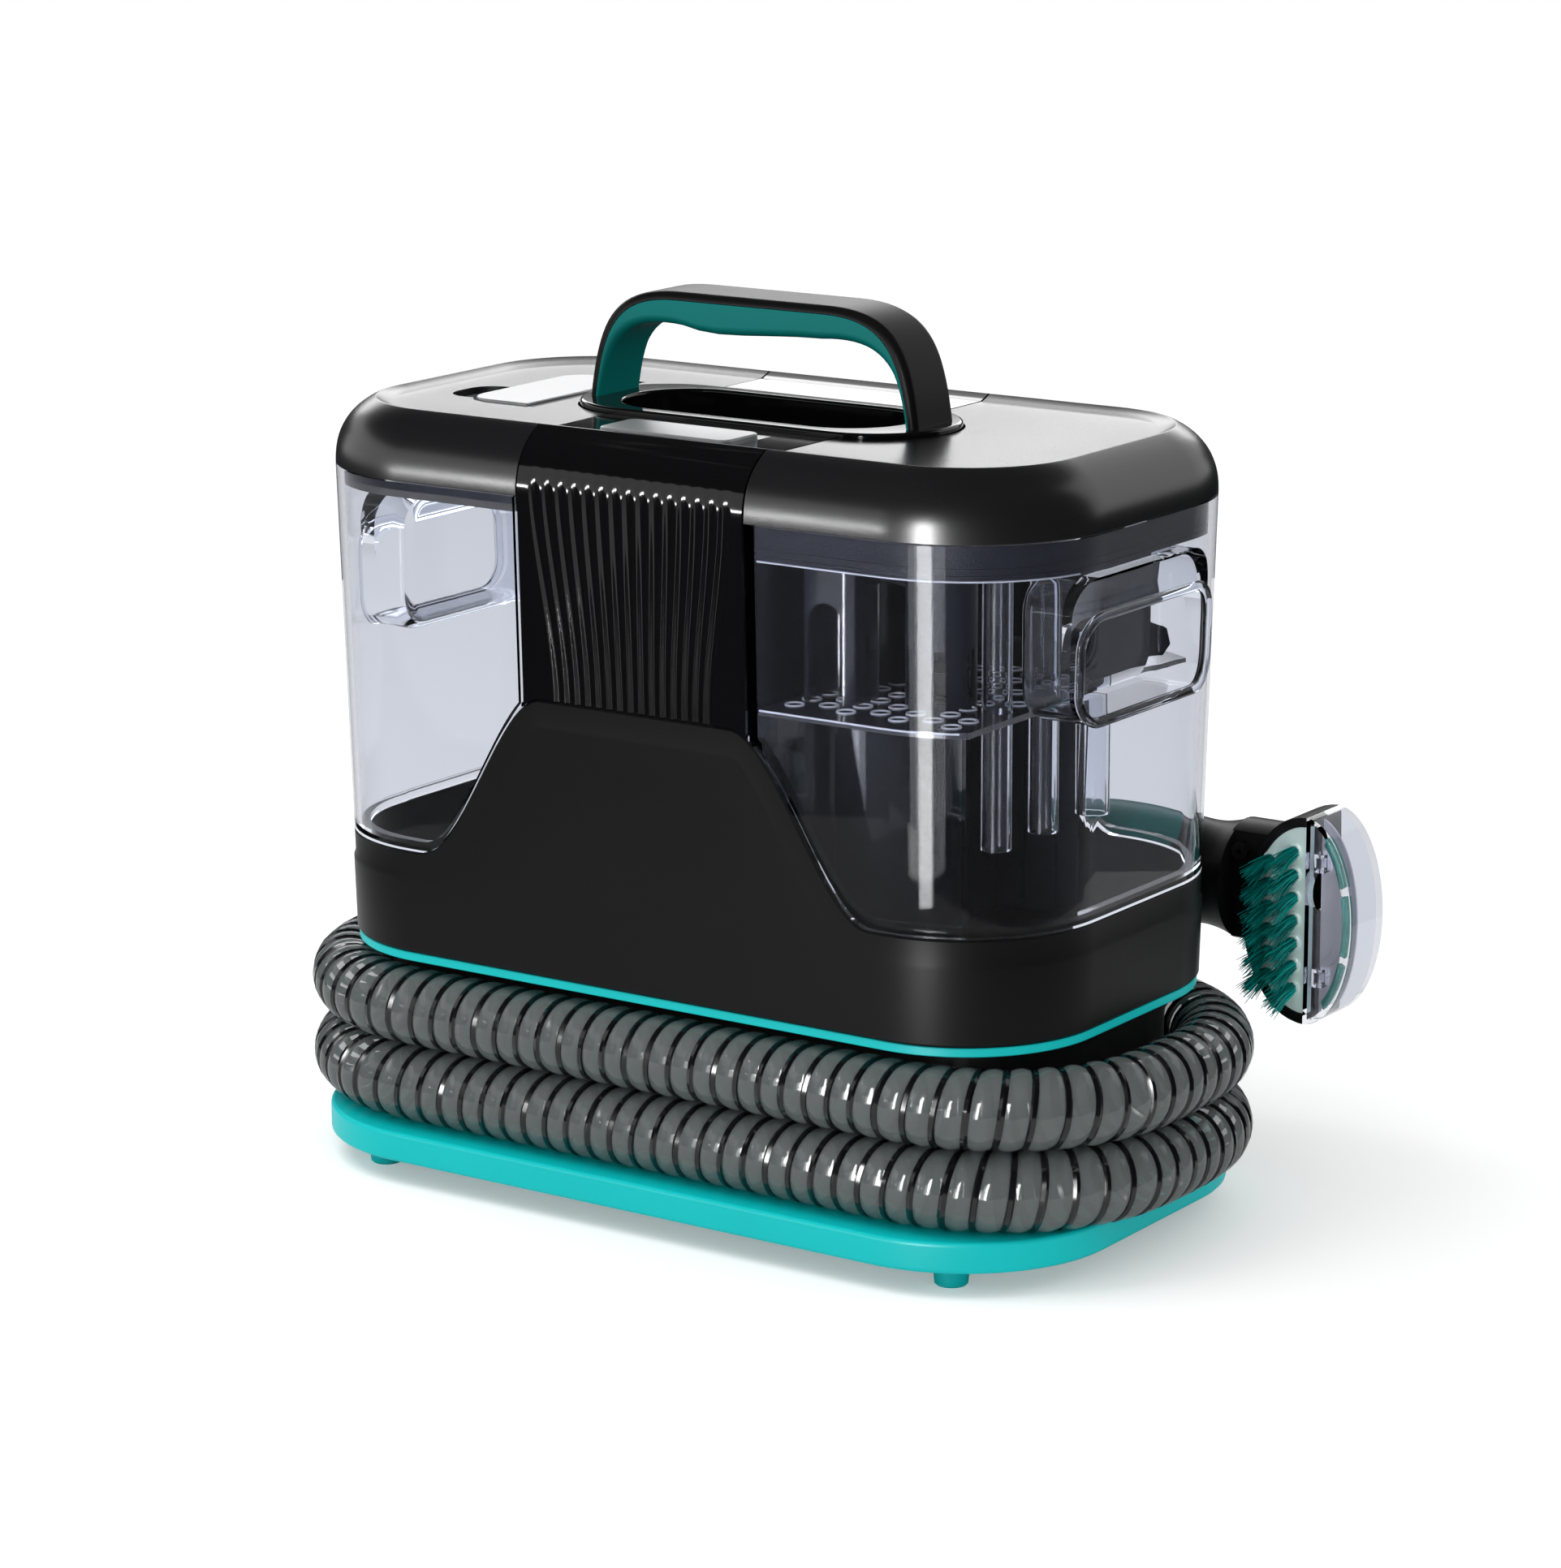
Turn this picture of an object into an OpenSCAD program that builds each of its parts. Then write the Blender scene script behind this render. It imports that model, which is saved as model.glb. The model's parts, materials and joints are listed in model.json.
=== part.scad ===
// Portable spot extractor: a clean tank and a dirty tank on a motor housing that
// stands on a hose drum. X is to the right, -Y is the front and Z is up. The origin
// is on the floor at the centre of the four feet.

/* [Base] */
// Length of the base plate
base_l = 371; // [350:1:400]
// Depth of the base plate
base_w = 211; // [200:1:230]
// Corner radius of the base plate
base_r = 66; // [50:1:75]
// Height of the base plate
base_h = 12.7; // [10:0.1:20]
// Height of a foot
foot_h = 10; // [6:0.5:15]
// Radius of a foot where it meets the plate
foot_r = 7.5; // [6:0.5:9]
// Distance between the feet from left to right
foot_span_x = 282; // [250:1:300]
// Distance between the feet from front to back
foot_span_y = 162; // [140:1:170]

/* [Hose drum] */
// Length of the drum that the hose winds on
drum_l = 340; // [320:1:346]
// Depth of the drum
drum_w = 136; // [130:1:138]
// Corner radius of the drum
drum_r = 50; // [40:1:55]
// Height of the drum
drum_h = 70.7; // [69:0.1:80]

/* [Body] */
// Length of the body under the lids
body_l = 360; // [350:1:370]
// Depth of the body under the lids
body_w = 195; // [190:1:205]
// Corner radius of the body under the lids
lid_r = 63.5; // [61:0.5:66]
// Corner radius of the body at the accent strip
strip_r = 58; // [55:0.5:60]
// Height of the accent strip
strip_h = 3.7; // [2:0.1:6]
// Height of the body from the strip to the lids
body_h = 198; // [190:1:215]
// Height of the lids' rounded shoulder
shoulder_h = 27; // [20:1:32]
// How far the shoulder draws in
shoulder_in = 17; // [12:1:20]
// How far the lids' flat top lies under their edge
dish = 2.5; // [1:0.1:3]
// Width of the sloping edge of the lids' top
dish_band = 6.5; // [4:0.5:9]
// Wall of the housing and the covers
wall = 3; // [2.5:0.1:4]
// Wall of the clear tanks
tank_wall = 3; // [2.5:0.1:3.5]
// Distance from the middle to the seam of either tank
seam_x = 54.5; // [52:0.5:57]
// Height of the housing's rim above the strip at the ends
rim_low = 43.4; // [38:0.1:50]
// Height of the housing's rim above the strip in the middle
rim_high = 115.9; // [100:0.1:120]

/* [Top] */
// Length of the handle tray
tray_l = 174; // [170:1:180]
// Depth of the handle tray
tray_w = 70; // [64:1:72]
// Depth of the handle from front to back
grip_d = 29; // [24:1:34]
// Height of the handle above the tray
grip_h = 46; // [42:1:55]
// Outer width of the handle at the tray
grip_l = 160; // [154:1:164]
// Length of the power button
button_l = 63; // [50:1:70]
// Width of the power button
button_w = 25; // [20:1:28]
// Travel of the power button
button_travel = 2; // [1:0.5:3]
// Length of the filler flap
flap_l = 76; // [70:1:80]
// Width of the filler flap
flap_w = 32; // [28:1:36]

/* [Tanks] */
// Width of the grip pocket in a tank's end
pocket_w = 101; // [90:1:104]
// Height of the grip pocket
pocket_h = 58; // [50:1:62]
// Depth of the grip pocket
pocket_d = 28; // [22:1:32]
// Radius of the holes in the sieve plate
sieve_hole_r = 3.2; // [2:0.1:3.5]
// Radius of the float
float_r = 11; // [9:0.5:12]
// Travel of the float
float_travel = 14; // [8:1:16]

/* [Motor] */
// Radius of the suction motor
motor_r = 43; // [38:0.5:44]
// Height of the suction motor
motor_h = 78; // [70:1:79]
// Radius of the motor's shaft
shaft_r = 4; // [3:0.1:5]
// Radius of the impeller
impeller_r = 43; // [38:0.5:43.5]

/* [Hose] */
// Outer radius of the hose over its ribs
hose_r = 16.2; // [15:0.1:16.3]
// Radius of the hose between its ribs
hose_valley_r = 14.6; // [14:0.1:15]
// Radius of the hose's bore
hose_bore_r = 12.5; // [11:0.1:13]
// Distance from rib to rib
rib_pitch = 10.8; // [10.6:0.1:12]
// Distance from turn to turn
turn_pitch = 33; // [32.9:0.1:34]
// Corner radius of the turns
turn_r = 70; // [68:1:72]
// Half length of the turns along the hose's middle
turn_x = 192; // [191:1:194]
// Half depth of the turns along the hose's middle
turn_y = 86; // [85.5:0.1:88]

/* [Hand tool] */
// Distance from the body's back to the wand's axis
wand_gap = 32.5; // [30:0.5:36]
// Height of the wand's axis
wand_z = 120; // [119:1:124]
// Height of the tool's head
head_h = 88; // [80:1:94]
// Width of the brush plate
plate_w = 25.5; // [23:0.5:28]
// Width of the suction hood
hood_w = 22; // [20:1:28]
// Length of a brush tuft
tuft_l = 14; // [12:1:20]
// Radius of a brush tuft at the plate
tuft_r = 2.6; // [2:0.1:3]

/* [Hidden] */

teal = [0, 0.74, 0.74];
dark_teal = [0, 0.46, 0.44];
black = [0.11, 0.11, 0.12];
graphite = [0.33, 0.34, 0.36];
clear = [0.78, 0.79, 0.84, 0.4];

fit = 0.3; // clearance between pieces that come apart
slip = 0.05; // clearance round pins and screws
far = 400; // reach of a block that cuts everything on one side

// Heights
z_deck = foot_h + base_h;
z_strip = z_deck + drum_h;
z_body = z_strip + strip_h;
z_lid = z_body + body_h;
z_crease = z_lid + shoulder_h;
z_top = z_crease - dish;
z_tray = z_crease;
floor_t = 3;
z_floor = z_body + floor_t;
z_tank = z_floor + fit;

// Centres of the corner arcs
base_cx = base_l / 2 - base_r;
base_cy = base_w / 2 - base_r;
drum_cx = drum_l / 2 - drum_r;
drum_cy = drum_w / 2 - drum_r;
body_cx = body_l / 2 - lid_r;
body_cy = body_w / 2 - lid_r;

wand_y = body_w / 2 + wand_gap;

$fn = 48;

function body_r(z) = strip_r + (lid_r - strip_r) * (z - z_body) / body_h;

// Height of the housing's rim at a distance x from the middle
rim_x_low = 110;
rim_x_high = 46;
function ease(t) = t * t * (3 - 2 * t);
function rim_z(x) = z_body + rim_low + (rim_high - rim_low)
    * ease(max(0, min(1, (rim_x_low - abs(x)) / (rim_x_low - rim_x_high))));

// A profile of distance outward and height, swept round a rounded rectangle whose
// corner centres lie at hx and hy
module sweep(hx, hy) {
    for (sx = [0, 1], sy = [0, 1])
        mirror([sx, 0, 0]) mirror([0, sy, 0]) translate([hx, hy, 0])
            rotate_extrude(angle = 90) children();
    for (s = [0, 1])
        mirror([s, 0, 0]) translate([hx, hy, 0]) rotate([90, 0, 0])
            linear_extrude(2 * hy) children();
    for (s = [0, 1])
        mirror([0, s, 0]) translate([-hx, hy, 0]) rotate([90, 0, 90])
            linear_extrude(2 * hx) children();
}

// The filled solid inside the swept outline, from its lowest to its highest point
module filled(hx, hy, line) {
    z0 = line[0][1];
    z1 = line[len(line) - 1][1];
    sweep(hx, hy) polygon(concat([[0, z0]], line, [[0, z1]]));
    translate([-hx, -hy, z0]) cube([2 * hx, 2 * hy, z1 - z0]);
}

// The body's outline drawn in by inset, between two heights
module body_fill(inset, z0, z1) {
    filled(body_cx, body_cy, [[body_r(z0) - inset, z0], [body_r(z1) - inset, z1]]);
}

// The lids' outer form with its dished top, drawn in by inset
module lid_fill(inset) {
    shoulder = [for (a = [0:11.25:90])
        [lid_r - inset - shoulder_in * (1 - cos(a)),
            z_lid + (shoulder_h - inset) * sin(a)]];
    foot = inset > 0 ? [[lid_r - inset, z_lid - 1]] : [];
    rim_in = [lid_r - inset - shoulder_in - dish_band, z_top - inset];
    filled(body_cx, body_cy, concat(foot, shoulder, [rim_in]));
}

module stadium(length, depth, z0, z1) {
    mid = length / 2 - depth / 2;
    translate([-mid, -depth / 2, z0]) cube([2 * mid, depth, z1 - z0]);
    for (s = [-1, 1])
        translate([s * mid, 0, z0]) cylinder(h = z1 - z0, d = depth);
}

module tray_block(gap, z0, z1) {
    stadium(tray_l + 2 * gap, tray_w + 2 * gap, z0, z1);
}

module rounded_box(size_x, size_y, r, z0, z1) {
    for (sx = [-1, 1], sy = [-1, 1])
        translate([sx * (size_x / 2 - r), sy * (size_y / 2 - r), z0])
            cylinder(h = z1 - z0, r = r);
    translate([-size_x / 2, r - size_y / 2, z0])
        cube([size_x, size_y - 2 * r, z1 - z0]);
    translate([r - size_x / 2, -size_y / 2, z0])
        cube([size_x - 2 * r, size_y, z1 - z0]);
}

// Everything above the housing's rim
module above_rim(gap) {
    step = rim_x_low / 20;
    edge = [for (i = [-20:20]) [i * step, rim_z(i * step) + gap]];
    low = z_body + rim_low + gap;
    translate([0, far, 0]) rotate([90, 0, 0]) linear_extrude(2 * far)
        polygon(concat([[-far, low]], edge, [[far, low], [far, far], [-far, far]]));
}

// The space of the right tank, gap away from the seam and the tray
module right_side(gap) {
    difference() {
        translate([seam_x + gap, -far, 0]) cube([far, 2 * far, far]);
        tray_block(gap, 0, far);
    }
}

module middle(gap) {
    translate([gap - seam_x, -far, 0]) cube([2 * (seam_x - gap), 2 * far, far]);
}

// ---- base ----

plate_t = 3;
boss_r = foot_r + 1.5;
stud_r = 3;
stud_h = 6;
foot_hole_r = 2.25;
foot_hole_h = 5;
slot_w = 5;
slot_l = 60;
slot_n = 7;
slot_x = 96;
screw_x = 138;
screw_y = 46;
screw_r = 2;
screw_h = 16;
screw_head_r = 4;
screw_head_h = 2.5;

module at_feet() {
    for (sx = [-1, 1], sy = [-1, 1])
        translate([sx * foot_span_x / 2, sy * foot_span_y / 2, 0]) children();
}

module at_screws() {
    for (sx = [-1, 1], sy = [-1, 1])
        translate([sx * screw_x, sy * screw_y, 0]) children();
}

module base_plate() {
    inner = base_r - plate_t;
    color(teal) difference() {
        union() {
            difference() {
                filled(base_cx, base_cy, [[base_r - 2, foot_h], [base_r, foot_h + 2],
                    [base_r, z_deck - 1.5], [base_r - 1.5, z_deck]]);
                filled(base_cx, base_cy, [[inner, foot_h - 1], [inner, z_deck - plate_t]]);
            }
            at_feet() translate([0, 0, foot_h])
                cylinder(h = base_h - 1, r = boss_r);
        }
        at_feet() translate([0, 0, foot_h - 1])
            cylinder(h = stud_h + 1 + fit, r = stud_r + slip);
        at_screws() translate([0, 0, foot_h]) cylinder(h = base_h + 1, r = screw_r + slip);
        for (i = [0:slot_n - 1])
            translate([slot_x - slot_l / 2, (i - (slot_n - 1) / 2) * 2 * slot_w
                - slot_w / 2, foot_h]) cube([slot_l, slot_w, base_h + 1]);
    }
}

module feet() {
    color(teal) at_feet() difference() {
        rotate_extrude() polygon([[0, 0], [foot_r - 1.5, 0], [foot_r - 0.8, 0.7],
            [foot_r, foot_h], [stud_r, foot_h], [stud_r, foot_h + stud_h], [0, foot_h + stud_h]]);
        translate([0, 0, -1]) cylinder(h = foot_hole_h + 1, r = foot_hole_r);
    }
}

module base_screws() {
    z_head = z_deck - plate_t - screw_head_h;
    color("silver") at_screws() {
        translate([0, 0, z_head]) cylinder(h = screw_head_h, r = screw_head_r);
        translate([0, 0, z_head + screw_head_h]) cylinder(h = screw_h, r = screw_r);
    }
}

port_x = 10; // where the hose meets its port
port_bend = turn_y - drum_w / 2;
port_z = z_deck + fit + hose_r;
flange_w = 12;

module hose_drum() {
    inner = drum_r - wall;
    color(black) difference() {
        union() {
            sweep(drum_cx, drum_cy) polygon([[drum_r, z_deck], [drum_r, z_strip],
                [inner - flange_w, z_strip], [inner - flange_w, z_strip - wall],
                [inner, z_strip - wall], [inner, z_deck + wall],
                [inner - flange_w, z_deck + wall], [inner - flange_w, z_deck]]);
            at_screws() translate([0, 0, z_deck])
                cylinder(h = screw_h + 2, r = screw_r + 3);
        }
        at_screws() translate([0, 0, z_deck - 1])
            cylinder(h = screw_h + 1, r = screw_r + slip);
        translate([port_x - port_bend, drum_w / 2 - wall - flange_w - 1, port_z])
            rotate([-90, 0, 0]) cylinder(h = wall + flange_w + 5, r = hose_r + slip);
    }
}

strip_inner_r = 20;

module accent_strip() {
    color(teal) sweep(body_cx, body_cy) polygon([[strip_inner_r, z_strip], [strip_r, z_strip],
        [strip_r, z_body], [strip_inner_r, z_body]]);
}

// ---- housing and column ----

gland_x = -20;
gland_z = 165;
gland_r = 9;
cable_r = 3.6;
motor_hole_r = motor_r + 3;
valve_past_tray = 31; // from the end of the tray to the middle of the tank valve
valve_x = -tray_l / 2 - valve_past_tray;
valve_r = 9.6;
cradle_x = 20;
cradle_l = 20;

module housing() {
    color(black) difference() {
        body_fill(0, z_body, z_body + rim_high + 1);
        body_fill(wall, z_body - 1, z_body + rim_high + 2);
        above_rim(0);
        translate([gland_x, body_cy, gland_z]) rotate([-90, 0, 0])
            cylinder(h = far, r = gland_r + slip);
    }
}

module housing_floor() {
    color(black) difference() {
        body_fill(wall, z_body, z_floor);
        translate([0, 0, z_body - 1]) cylinder(h = floor_t + 2, r = motor_hole_r);
        translate([valve_x, 0, z_body - 1]) cylinder(h = floor_t + 2, r = valve_r + 0.8);
    }
}

column_wall = 2.5;
pipe_r = 14.5;
pipe_t = 2.2;
pipe_z = z_lid - 18; // height of the level part of the suction pipe
pipe_turn = -21.9; // direction of that part, seen from above
shelf_z = z_lid - 2;
shelf_y = 17.5 - body_w / 2;

module column_outline(inset, z0, z1, tray_z1) {
    intersection() {
        body_fill(wall + fit + inset, z0, z1);
        middle(fit + inset);
    }
    tray_block(-fit - inset, z0, tray_z1);
}

module column_shell() {
    z_under_tray = z_tray - tray_h;
    color(black) difference() {
        column_outline(0, z_tank, z_lid, z_under_tray);
        difference() {
            column_outline(column_wall, z_tank - 1, z_lid + 1, z_under_tray + 1);
            translate([-seam_x, shelf_y, shelf_z - 3]) cube([2 * seam_x, 33, 3]);
        }
        translate([0, 0, pipe_z]) rotate([0, 0, pipe_turn]) rotate([0, 90, 0])
            cylinder(h = tray_l / 2 + 10, r = pipe_r - pipe_t);
        translate([gland_x, body_cy, gland_z]) rotate([-90, 0, 0])
            cylinder(h = far, r = gland_r + slip);
    }
}

flute_n = 15;
flute_r = 1.5;
flute_pitch = 5.2;
flute_fan = 1.2; // how much wider the pitch is at the shoulder
flute_z0 = 219;
flute_z1 = 287;
button_y = -63;

module cover_half() {
    difference() {
        intersection() {
            difference() {
                union() {
                    body_fill(0, z_body + rim_high - 90, z_lid);
                    lid_fill(0);
                }
                body_fill(wall, z_body + rim_high - 91, z_lid);
                lid_fill(wall);
            }
            middle(fit);
            above_rim(fit);
        }
        translate([-far, 0, 0]) cube([2 * far, far, far]);
        tray_block(fit, 0, far);
    }
}

// Ribs down the front, fanned out towards the shoulder
module flutes() {
    for (i = [0:flute_n - 1]) {
        k = i - (flute_n - 1) / 2;
        low = [k * flute_pitch, -body_cy - body_r(flute_z0), flute_z0];
        high = [k * (flute_pitch + flute_fan), -body_cy - body_r(flute_z1), flute_z1];
        along = high - low;
        lean = atan2(along[0], along[2]);
        tip = atan2(-along[1], along[2]);
        translate(low) rotate([tip, lean, 0]) cylinder(h = norm(along), r = flute_r, $fn = 16);
    }
}

module centre_panel() {
    color(black) difference() {
        union() {
            cover_half();
            flutes();
        }
        translate([0, button_y, z_top - 10])
            rounded_box(button_l + 2 * fit, button_w + 2 * fit, 5, 0, 20);
    }
}

module rear_cover() {
    color(black) rotate([0, 0, 180]) cover_half();
}

module cord_gland() {
    y_wall = body_cy + body_r(gland_z) - wall;
    color(black) translate([gland_x, y_wall - 12, gland_z]) rotate([-90, 0, 0])
        difference() {
            union() {
                cylinder(h = 24, r = gland_r);
                translate([0, 0, 12 + wall + 1]) cylinder(h = 3, r = gland_r + 3);
            }
            translate([0, 0, -1]) cylinder(h = 26, r = cable_r);
        }
}

// ---- top ----

tray_h = 19;
tray_floor = 3;
bowl_l = 134;
bowl_w = 54;
leg_t = 5;
leg_screw_r = 1.4;
leg_screw_y = 8;
leg_screw_x = grip_l / 2 - 2.7;

module at_leg_screws() {
    for (sx = [-1, 1], sy = [-1, 1])
        translate([sx * leg_screw_x, sy * leg_screw_y, 0]) children();
}

module handle_tray() {
    color(black) difference() {
        tray_block(-fit, z_tray - tray_h, z_tray);
        stadium(bowl_l, bowl_w, z_tray - tray_h + tray_floor, z_tray + 1);
        at_leg_screws() translate([0, 0, z_tray - tray_h - 1])
            cylinder(h = tray_h + 2, r = leg_screw_r + slip);
    }
}

// A cubic curve between two points
function curve(a, b, c, d, n) = [for (i = [0:n]) let (t = i / n, u = 1 - t)
    u * u * u * a + 3 * u * u * t * b + 3 * u * t * t * c + t * t * t * d];
function mirrored(line, middle = []) = concat(line, middle,
    [for (i = [len(line) - 1:-1:0]) [-line[i][0], line[i][1]]]);

handle_outer = mirrored(curve([grip_l / 2, 0], [grip_l / 2 - 4, grip_h * 0.65],
    [grip_l / 2 - 10, grip_h], [grip_l / 2 - 44, grip_h], 12));
handle_seam = mirrored(curve([grip_l / 2 - 3.5, 0], [grip_l / 2 - 8, grip_h - 18],
    [grip_l / 2 - 14, grip_h - 3.5], [grip_l / 2 - 44, grip_h - 3.5], 12));
handle_inner = mirrored(curve([grip_l / 2 - leg_t, 0], [grip_l / 2 - 9, grip_h - 22],
    [grip_l / 2 - 17, grip_h - 11], [grip_l / 2 - 46, grip_h - 13.8], 12),
    [[14, grip_h - 14.6], [-16, grip_h - 16.2]]);

module handle_slice(outer, inner) {
    translate([0, grip_d / 2, z_tray]) rotate([90, 0, 0]) linear_extrude(grip_d)
        difference() {
            polygon(outer);
            polygon(inner);
        }
}

module leg_holes() {
    at_leg_screws() translate([0, 0, z_tray - 1]) cylinder(h = 5.5, r = leg_screw_r + slip);
}

module carry_handle() {
    color(black) difference() {
        handle_slice(handle_outer, handle_seam);
        leg_holes();
    }
}

module handle_grip() {
    color(dark_teal) difference() {
        handle_slice(handle_seam, handle_inner);
        leg_holes();
    }
}

module handle_screws() {
    color("silver") at_leg_screws() {
        translate([0, 0, z_tray - tray_h - 2]) cylinder(h = 2, r = 2.6);
        translate([0, 0, z_tray - tray_h]) cylinder(h = tray_h + 4, r = leg_screw_r);
    }
}

switch_top = shelf_z + 13;

module power_button() {
    z0 = z_top - wall - fit;
    z_stem = switch_top + button_travel + fit;
    color(graphite) translate([0, button_y, 0]) {
        rounded_box(button_l, button_w, 4.7, z0, z_crease);
        rounded_box(button_l + 3, button_w + 3, 5, z0 - 1.5, z0);
        translate([0, 0, z_stem]) cylinder(h = z0 - 1.5 - z_stem, r = 3);
    }
}

module button_switch() {
    color(black) translate([0, button_y, shelf_z]) {
        translate([-10, -6, 0]) cube([20, 12, 10]);
        translate([-1.5, -1.5, 10]) cube([3, 3, switch_top - shelf_z - 10]);
    }
}

board_l = 80;
board_h = 50;
board_y = 23.5 - body_w / 2;
board_z = z_lid - 15 - board_h;

module circuit_board() {
    color("darkgreen") translate([-board_l / 2, board_y, board_z]) {
        cube([board_l, 1.6, board_h]);
        for (x = [10, 34, 58])
            translate([x, 1.6, 12]) cube([12, 9, 16]);
        for (x = [5, board_l - 5], z = [5, board_h - 5])
            translate([x, 0, z]) rotate([90, 0, 0])
                cylinder(h = column_gap(board_y, board_z + z), r = 2.5);
    }
}

// Distance from y0 forward to the column's front wall at a height
function column_gap(y0, z) = body_cy + body_r(z) - wall - fit - column_wall + y0 - 0.1;

// ---- motor, fan, pump ----

mount_h = 6;
z_motor = z_deck + mount_h;
z_fan = z_motor + motor_h;
fan_h = 36;
fan_wall = 2.5;
fan_r = impeller_r + fan_wall + 1.5;
impeller_h = 14;

module motor_mount() {
    color([0.2, 0.2, 0.2]) translate([0, 0, z_deck]) difference() {
        cylinder(h = mount_h, r = motor_r - 3);
        translate([0, 0, -1]) cylinder(h = mount_h + 2, r = motor_r - 12);
    }
}

module suction_motor() {
    color("dimgray") translate([0, 0, z_motor]) difference() {
        union() {
            cylinder(h = motor_h, r = motor_r);
            for (a = [0:30:330])
                rotate([0, 0, a]) translate([motor_r - 1, -1, 8]) cube([2.4, 2, motor_h - 20]);
        }
        translate([0, 0, 12]) cylinder(h = motor_h, r = shaft_r + slip);
    }
}

module fan_housing() {
    color("gray") translate([0, 0, z_fan]) difference() {
        cylinder(h = fan_h, r = fan_r);
        translate([0, 0, fan_wall]) cylinder(h = fan_h - 2 * fan_wall, r = fan_r - fan_wall);
        cylinder(h = fan_h + 1, r = pipe_r - pipe_t);
        for (a = [0:30:330])
            rotate([0, 0, a]) translate([impeller_r - 8, 0, -1])
                cylinder(h = fan_wall + 2, r = 4);
    }
}

module impeller() {
    z0 = z_fan + fan_wall + 4;
    color("silver") {
        translate([0, 0, z_motor + 20]) cylinder(h = z0 - z_motor - 20, r = shaft_r);
        translate([0, 0, z0]) cylinder(h = 2, r = impeller_r);
        translate([0, 0, z0 + impeller_h - 2]) difference() {
            cylinder(h = 2, r = impeller_r);
            translate([0, 0, -1]) cylinder(h = 4, r = pipe_r);
        }
        for (a = [0:40:320])
            rotate([0, 0, a]) translate([pipe_r + 1, -1, z0 + 2])
                cube([impeller_r - pipe_r - 3, 2, impeller_h - 4]);
    }
}

module suction_pipe() {
    z0 = z_fan + fan_h;
    bend = pipe_r + 4;
    color([0.25, 0.25, 0.27]) rotate([0, 0, pipe_turn]) {
        translate([0, 0, z0]) rotate([0, 0, 180]) rotate_extrude()
            polygon([[pipe_r - pipe_t, 0], [pipe_r + 5, 0], [pipe_r + 5, 3], [pipe_r, 3],
                [pipe_r, pipe_z - bend - z0], [pipe_r - pipe_t, pipe_z - bend - z0]]);
        translate([bend, 0, pipe_z - bend]) rotate([-90, 180, 0])
            rotate_extrude(angle = 90) translate([bend, 0]) pipe_ring();
    }
    color([0.25, 0.25, 0.27]) intersection() {
        rotate([0, 0, pipe_turn]) translate([bend, 0, pipe_z]) rotate([0, 90, 0])
            rotate([0, 0, 180]) linear_extrude(tray_l / 2 - bend) pipe_ring();
        column_outline(column_wall + slip, z0, z_lid, z_tray - tray_h - column_wall - slip);
    }
}

module pipe_ring() {
    difference() {
        circle(r = pipe_r);
        circle(r = pipe_r - pipe_t);
    }
}

module exhaust_filter() {
    color([0.3, 0.3, 0.3]) translate([slot_x - slot_l / 2 - 4, -38, z_deck])
        cube([slot_l + 8, 76, 8]);
}

pump_x = valve_x;
pump_l = 46;
pump_w = 36;
pad_h = 4;
pump_z = z_deck + pad_h;

module pump_pads() {
    color([0.2, 0.2, 0.2]) for (sx = [-1, 1], sy = [-1, 1])
        translate([pump_x + sx * 16, sy * 11, z_deck]) cylinder(h = pad_h, r = 4);
}

module water_pump() {
    color("ivory") difference() {
        union() {
            translate([pump_x - pump_l / 2, -pump_w / 2, pump_z]) cube([pump_l, pump_w, 30]);
            translate([pump_x + pump_l / 2, 0, pump_z + 15]) rotate([0, 90, 0])
                cylinder(h = 10, r = 4);
            translate([pump_x, 0, pump_z + 30]) cylinder(h = socket_z - pump_z - 30, r = 4);
        }
        translate([pump_x, 0, pump_z + 20]) cylinder(h = 60, r = 2);
        translate([pump_x + 10, 0, pump_z + 15]) rotate([0, 90, 0]) cylinder(h = 40, r = 2);
    }
}

socket_h = 16;
socket_z = z_body - socket_h;

module valve_socket() {
    color([0.2, 0.2, 0.2]) translate([valve_x, 0, socket_z]) difference() {
        cylinder(h = socket_h, r = valve_r + 4);
        translate([0, 0, 3]) cylinder(h = socket_h, r = valve_r + fit);
        translate([0, 0, -1]) cylinder(h = 6, r = 2);
    }
}

// Water tube from the pump to the back of the hose port
module water_line() {
    x0 = pump_x + pump_l / 2 + 10;
    x1 = port_x - port_bend - hose_r;
    y1 = drum_w / 2 - 10;
    z0 = pump_z + 15;
    line_r = 4;
    color("white") {
        translate([x0, 0, z0]) rotate([0, 90, 0]) cylinder(h = 8, r = line_r);
        translate([x0 + 8, 0, z0]) sphere(r = line_r);
        translate([x0 + 8, 0, z0]) rotate([-90, 0, 0]) cylinder(h = y1, r = line_r);
        translate([x0 + 8, y1, z0]) sphere(r = line_r);
        translate([x0 + 8, y1, z0]) rotate([0, 90, 0]) cylinder(h = x1 - x0 - 8, r = line_r);
    }
}

module hose_port() {
    stub = 20;
    color(black) {
        translate([port_x - port_bend, drum_w / 2 - stub, port_z]) rotate([-90, 0, 0])
            difference() {
                cylinder(h = stub, r = hose_r);
                translate([0, 0, 3]) cylinder(h = stub, r = hose_bore_r);
            }
        translate([port_x, drum_w / 2, port_z]) rotate([0, 0, 90]) rotate_extrude(angle = 90)
            translate([port_bend, 0]) difference() {
                circle(r = hose_r);
                circle(r = hose_bore_r);
            }
    }
}

// ---- hose ----

turn_z = port_z;
corner_x = turn_x - turn_r;
corner_y = turn_y - turn_r;
z_second = turn_z + turn_pitch;
// Where the back run climbs to the second turn
climb_x0 = -115;
climb_x1 = -25;
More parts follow.
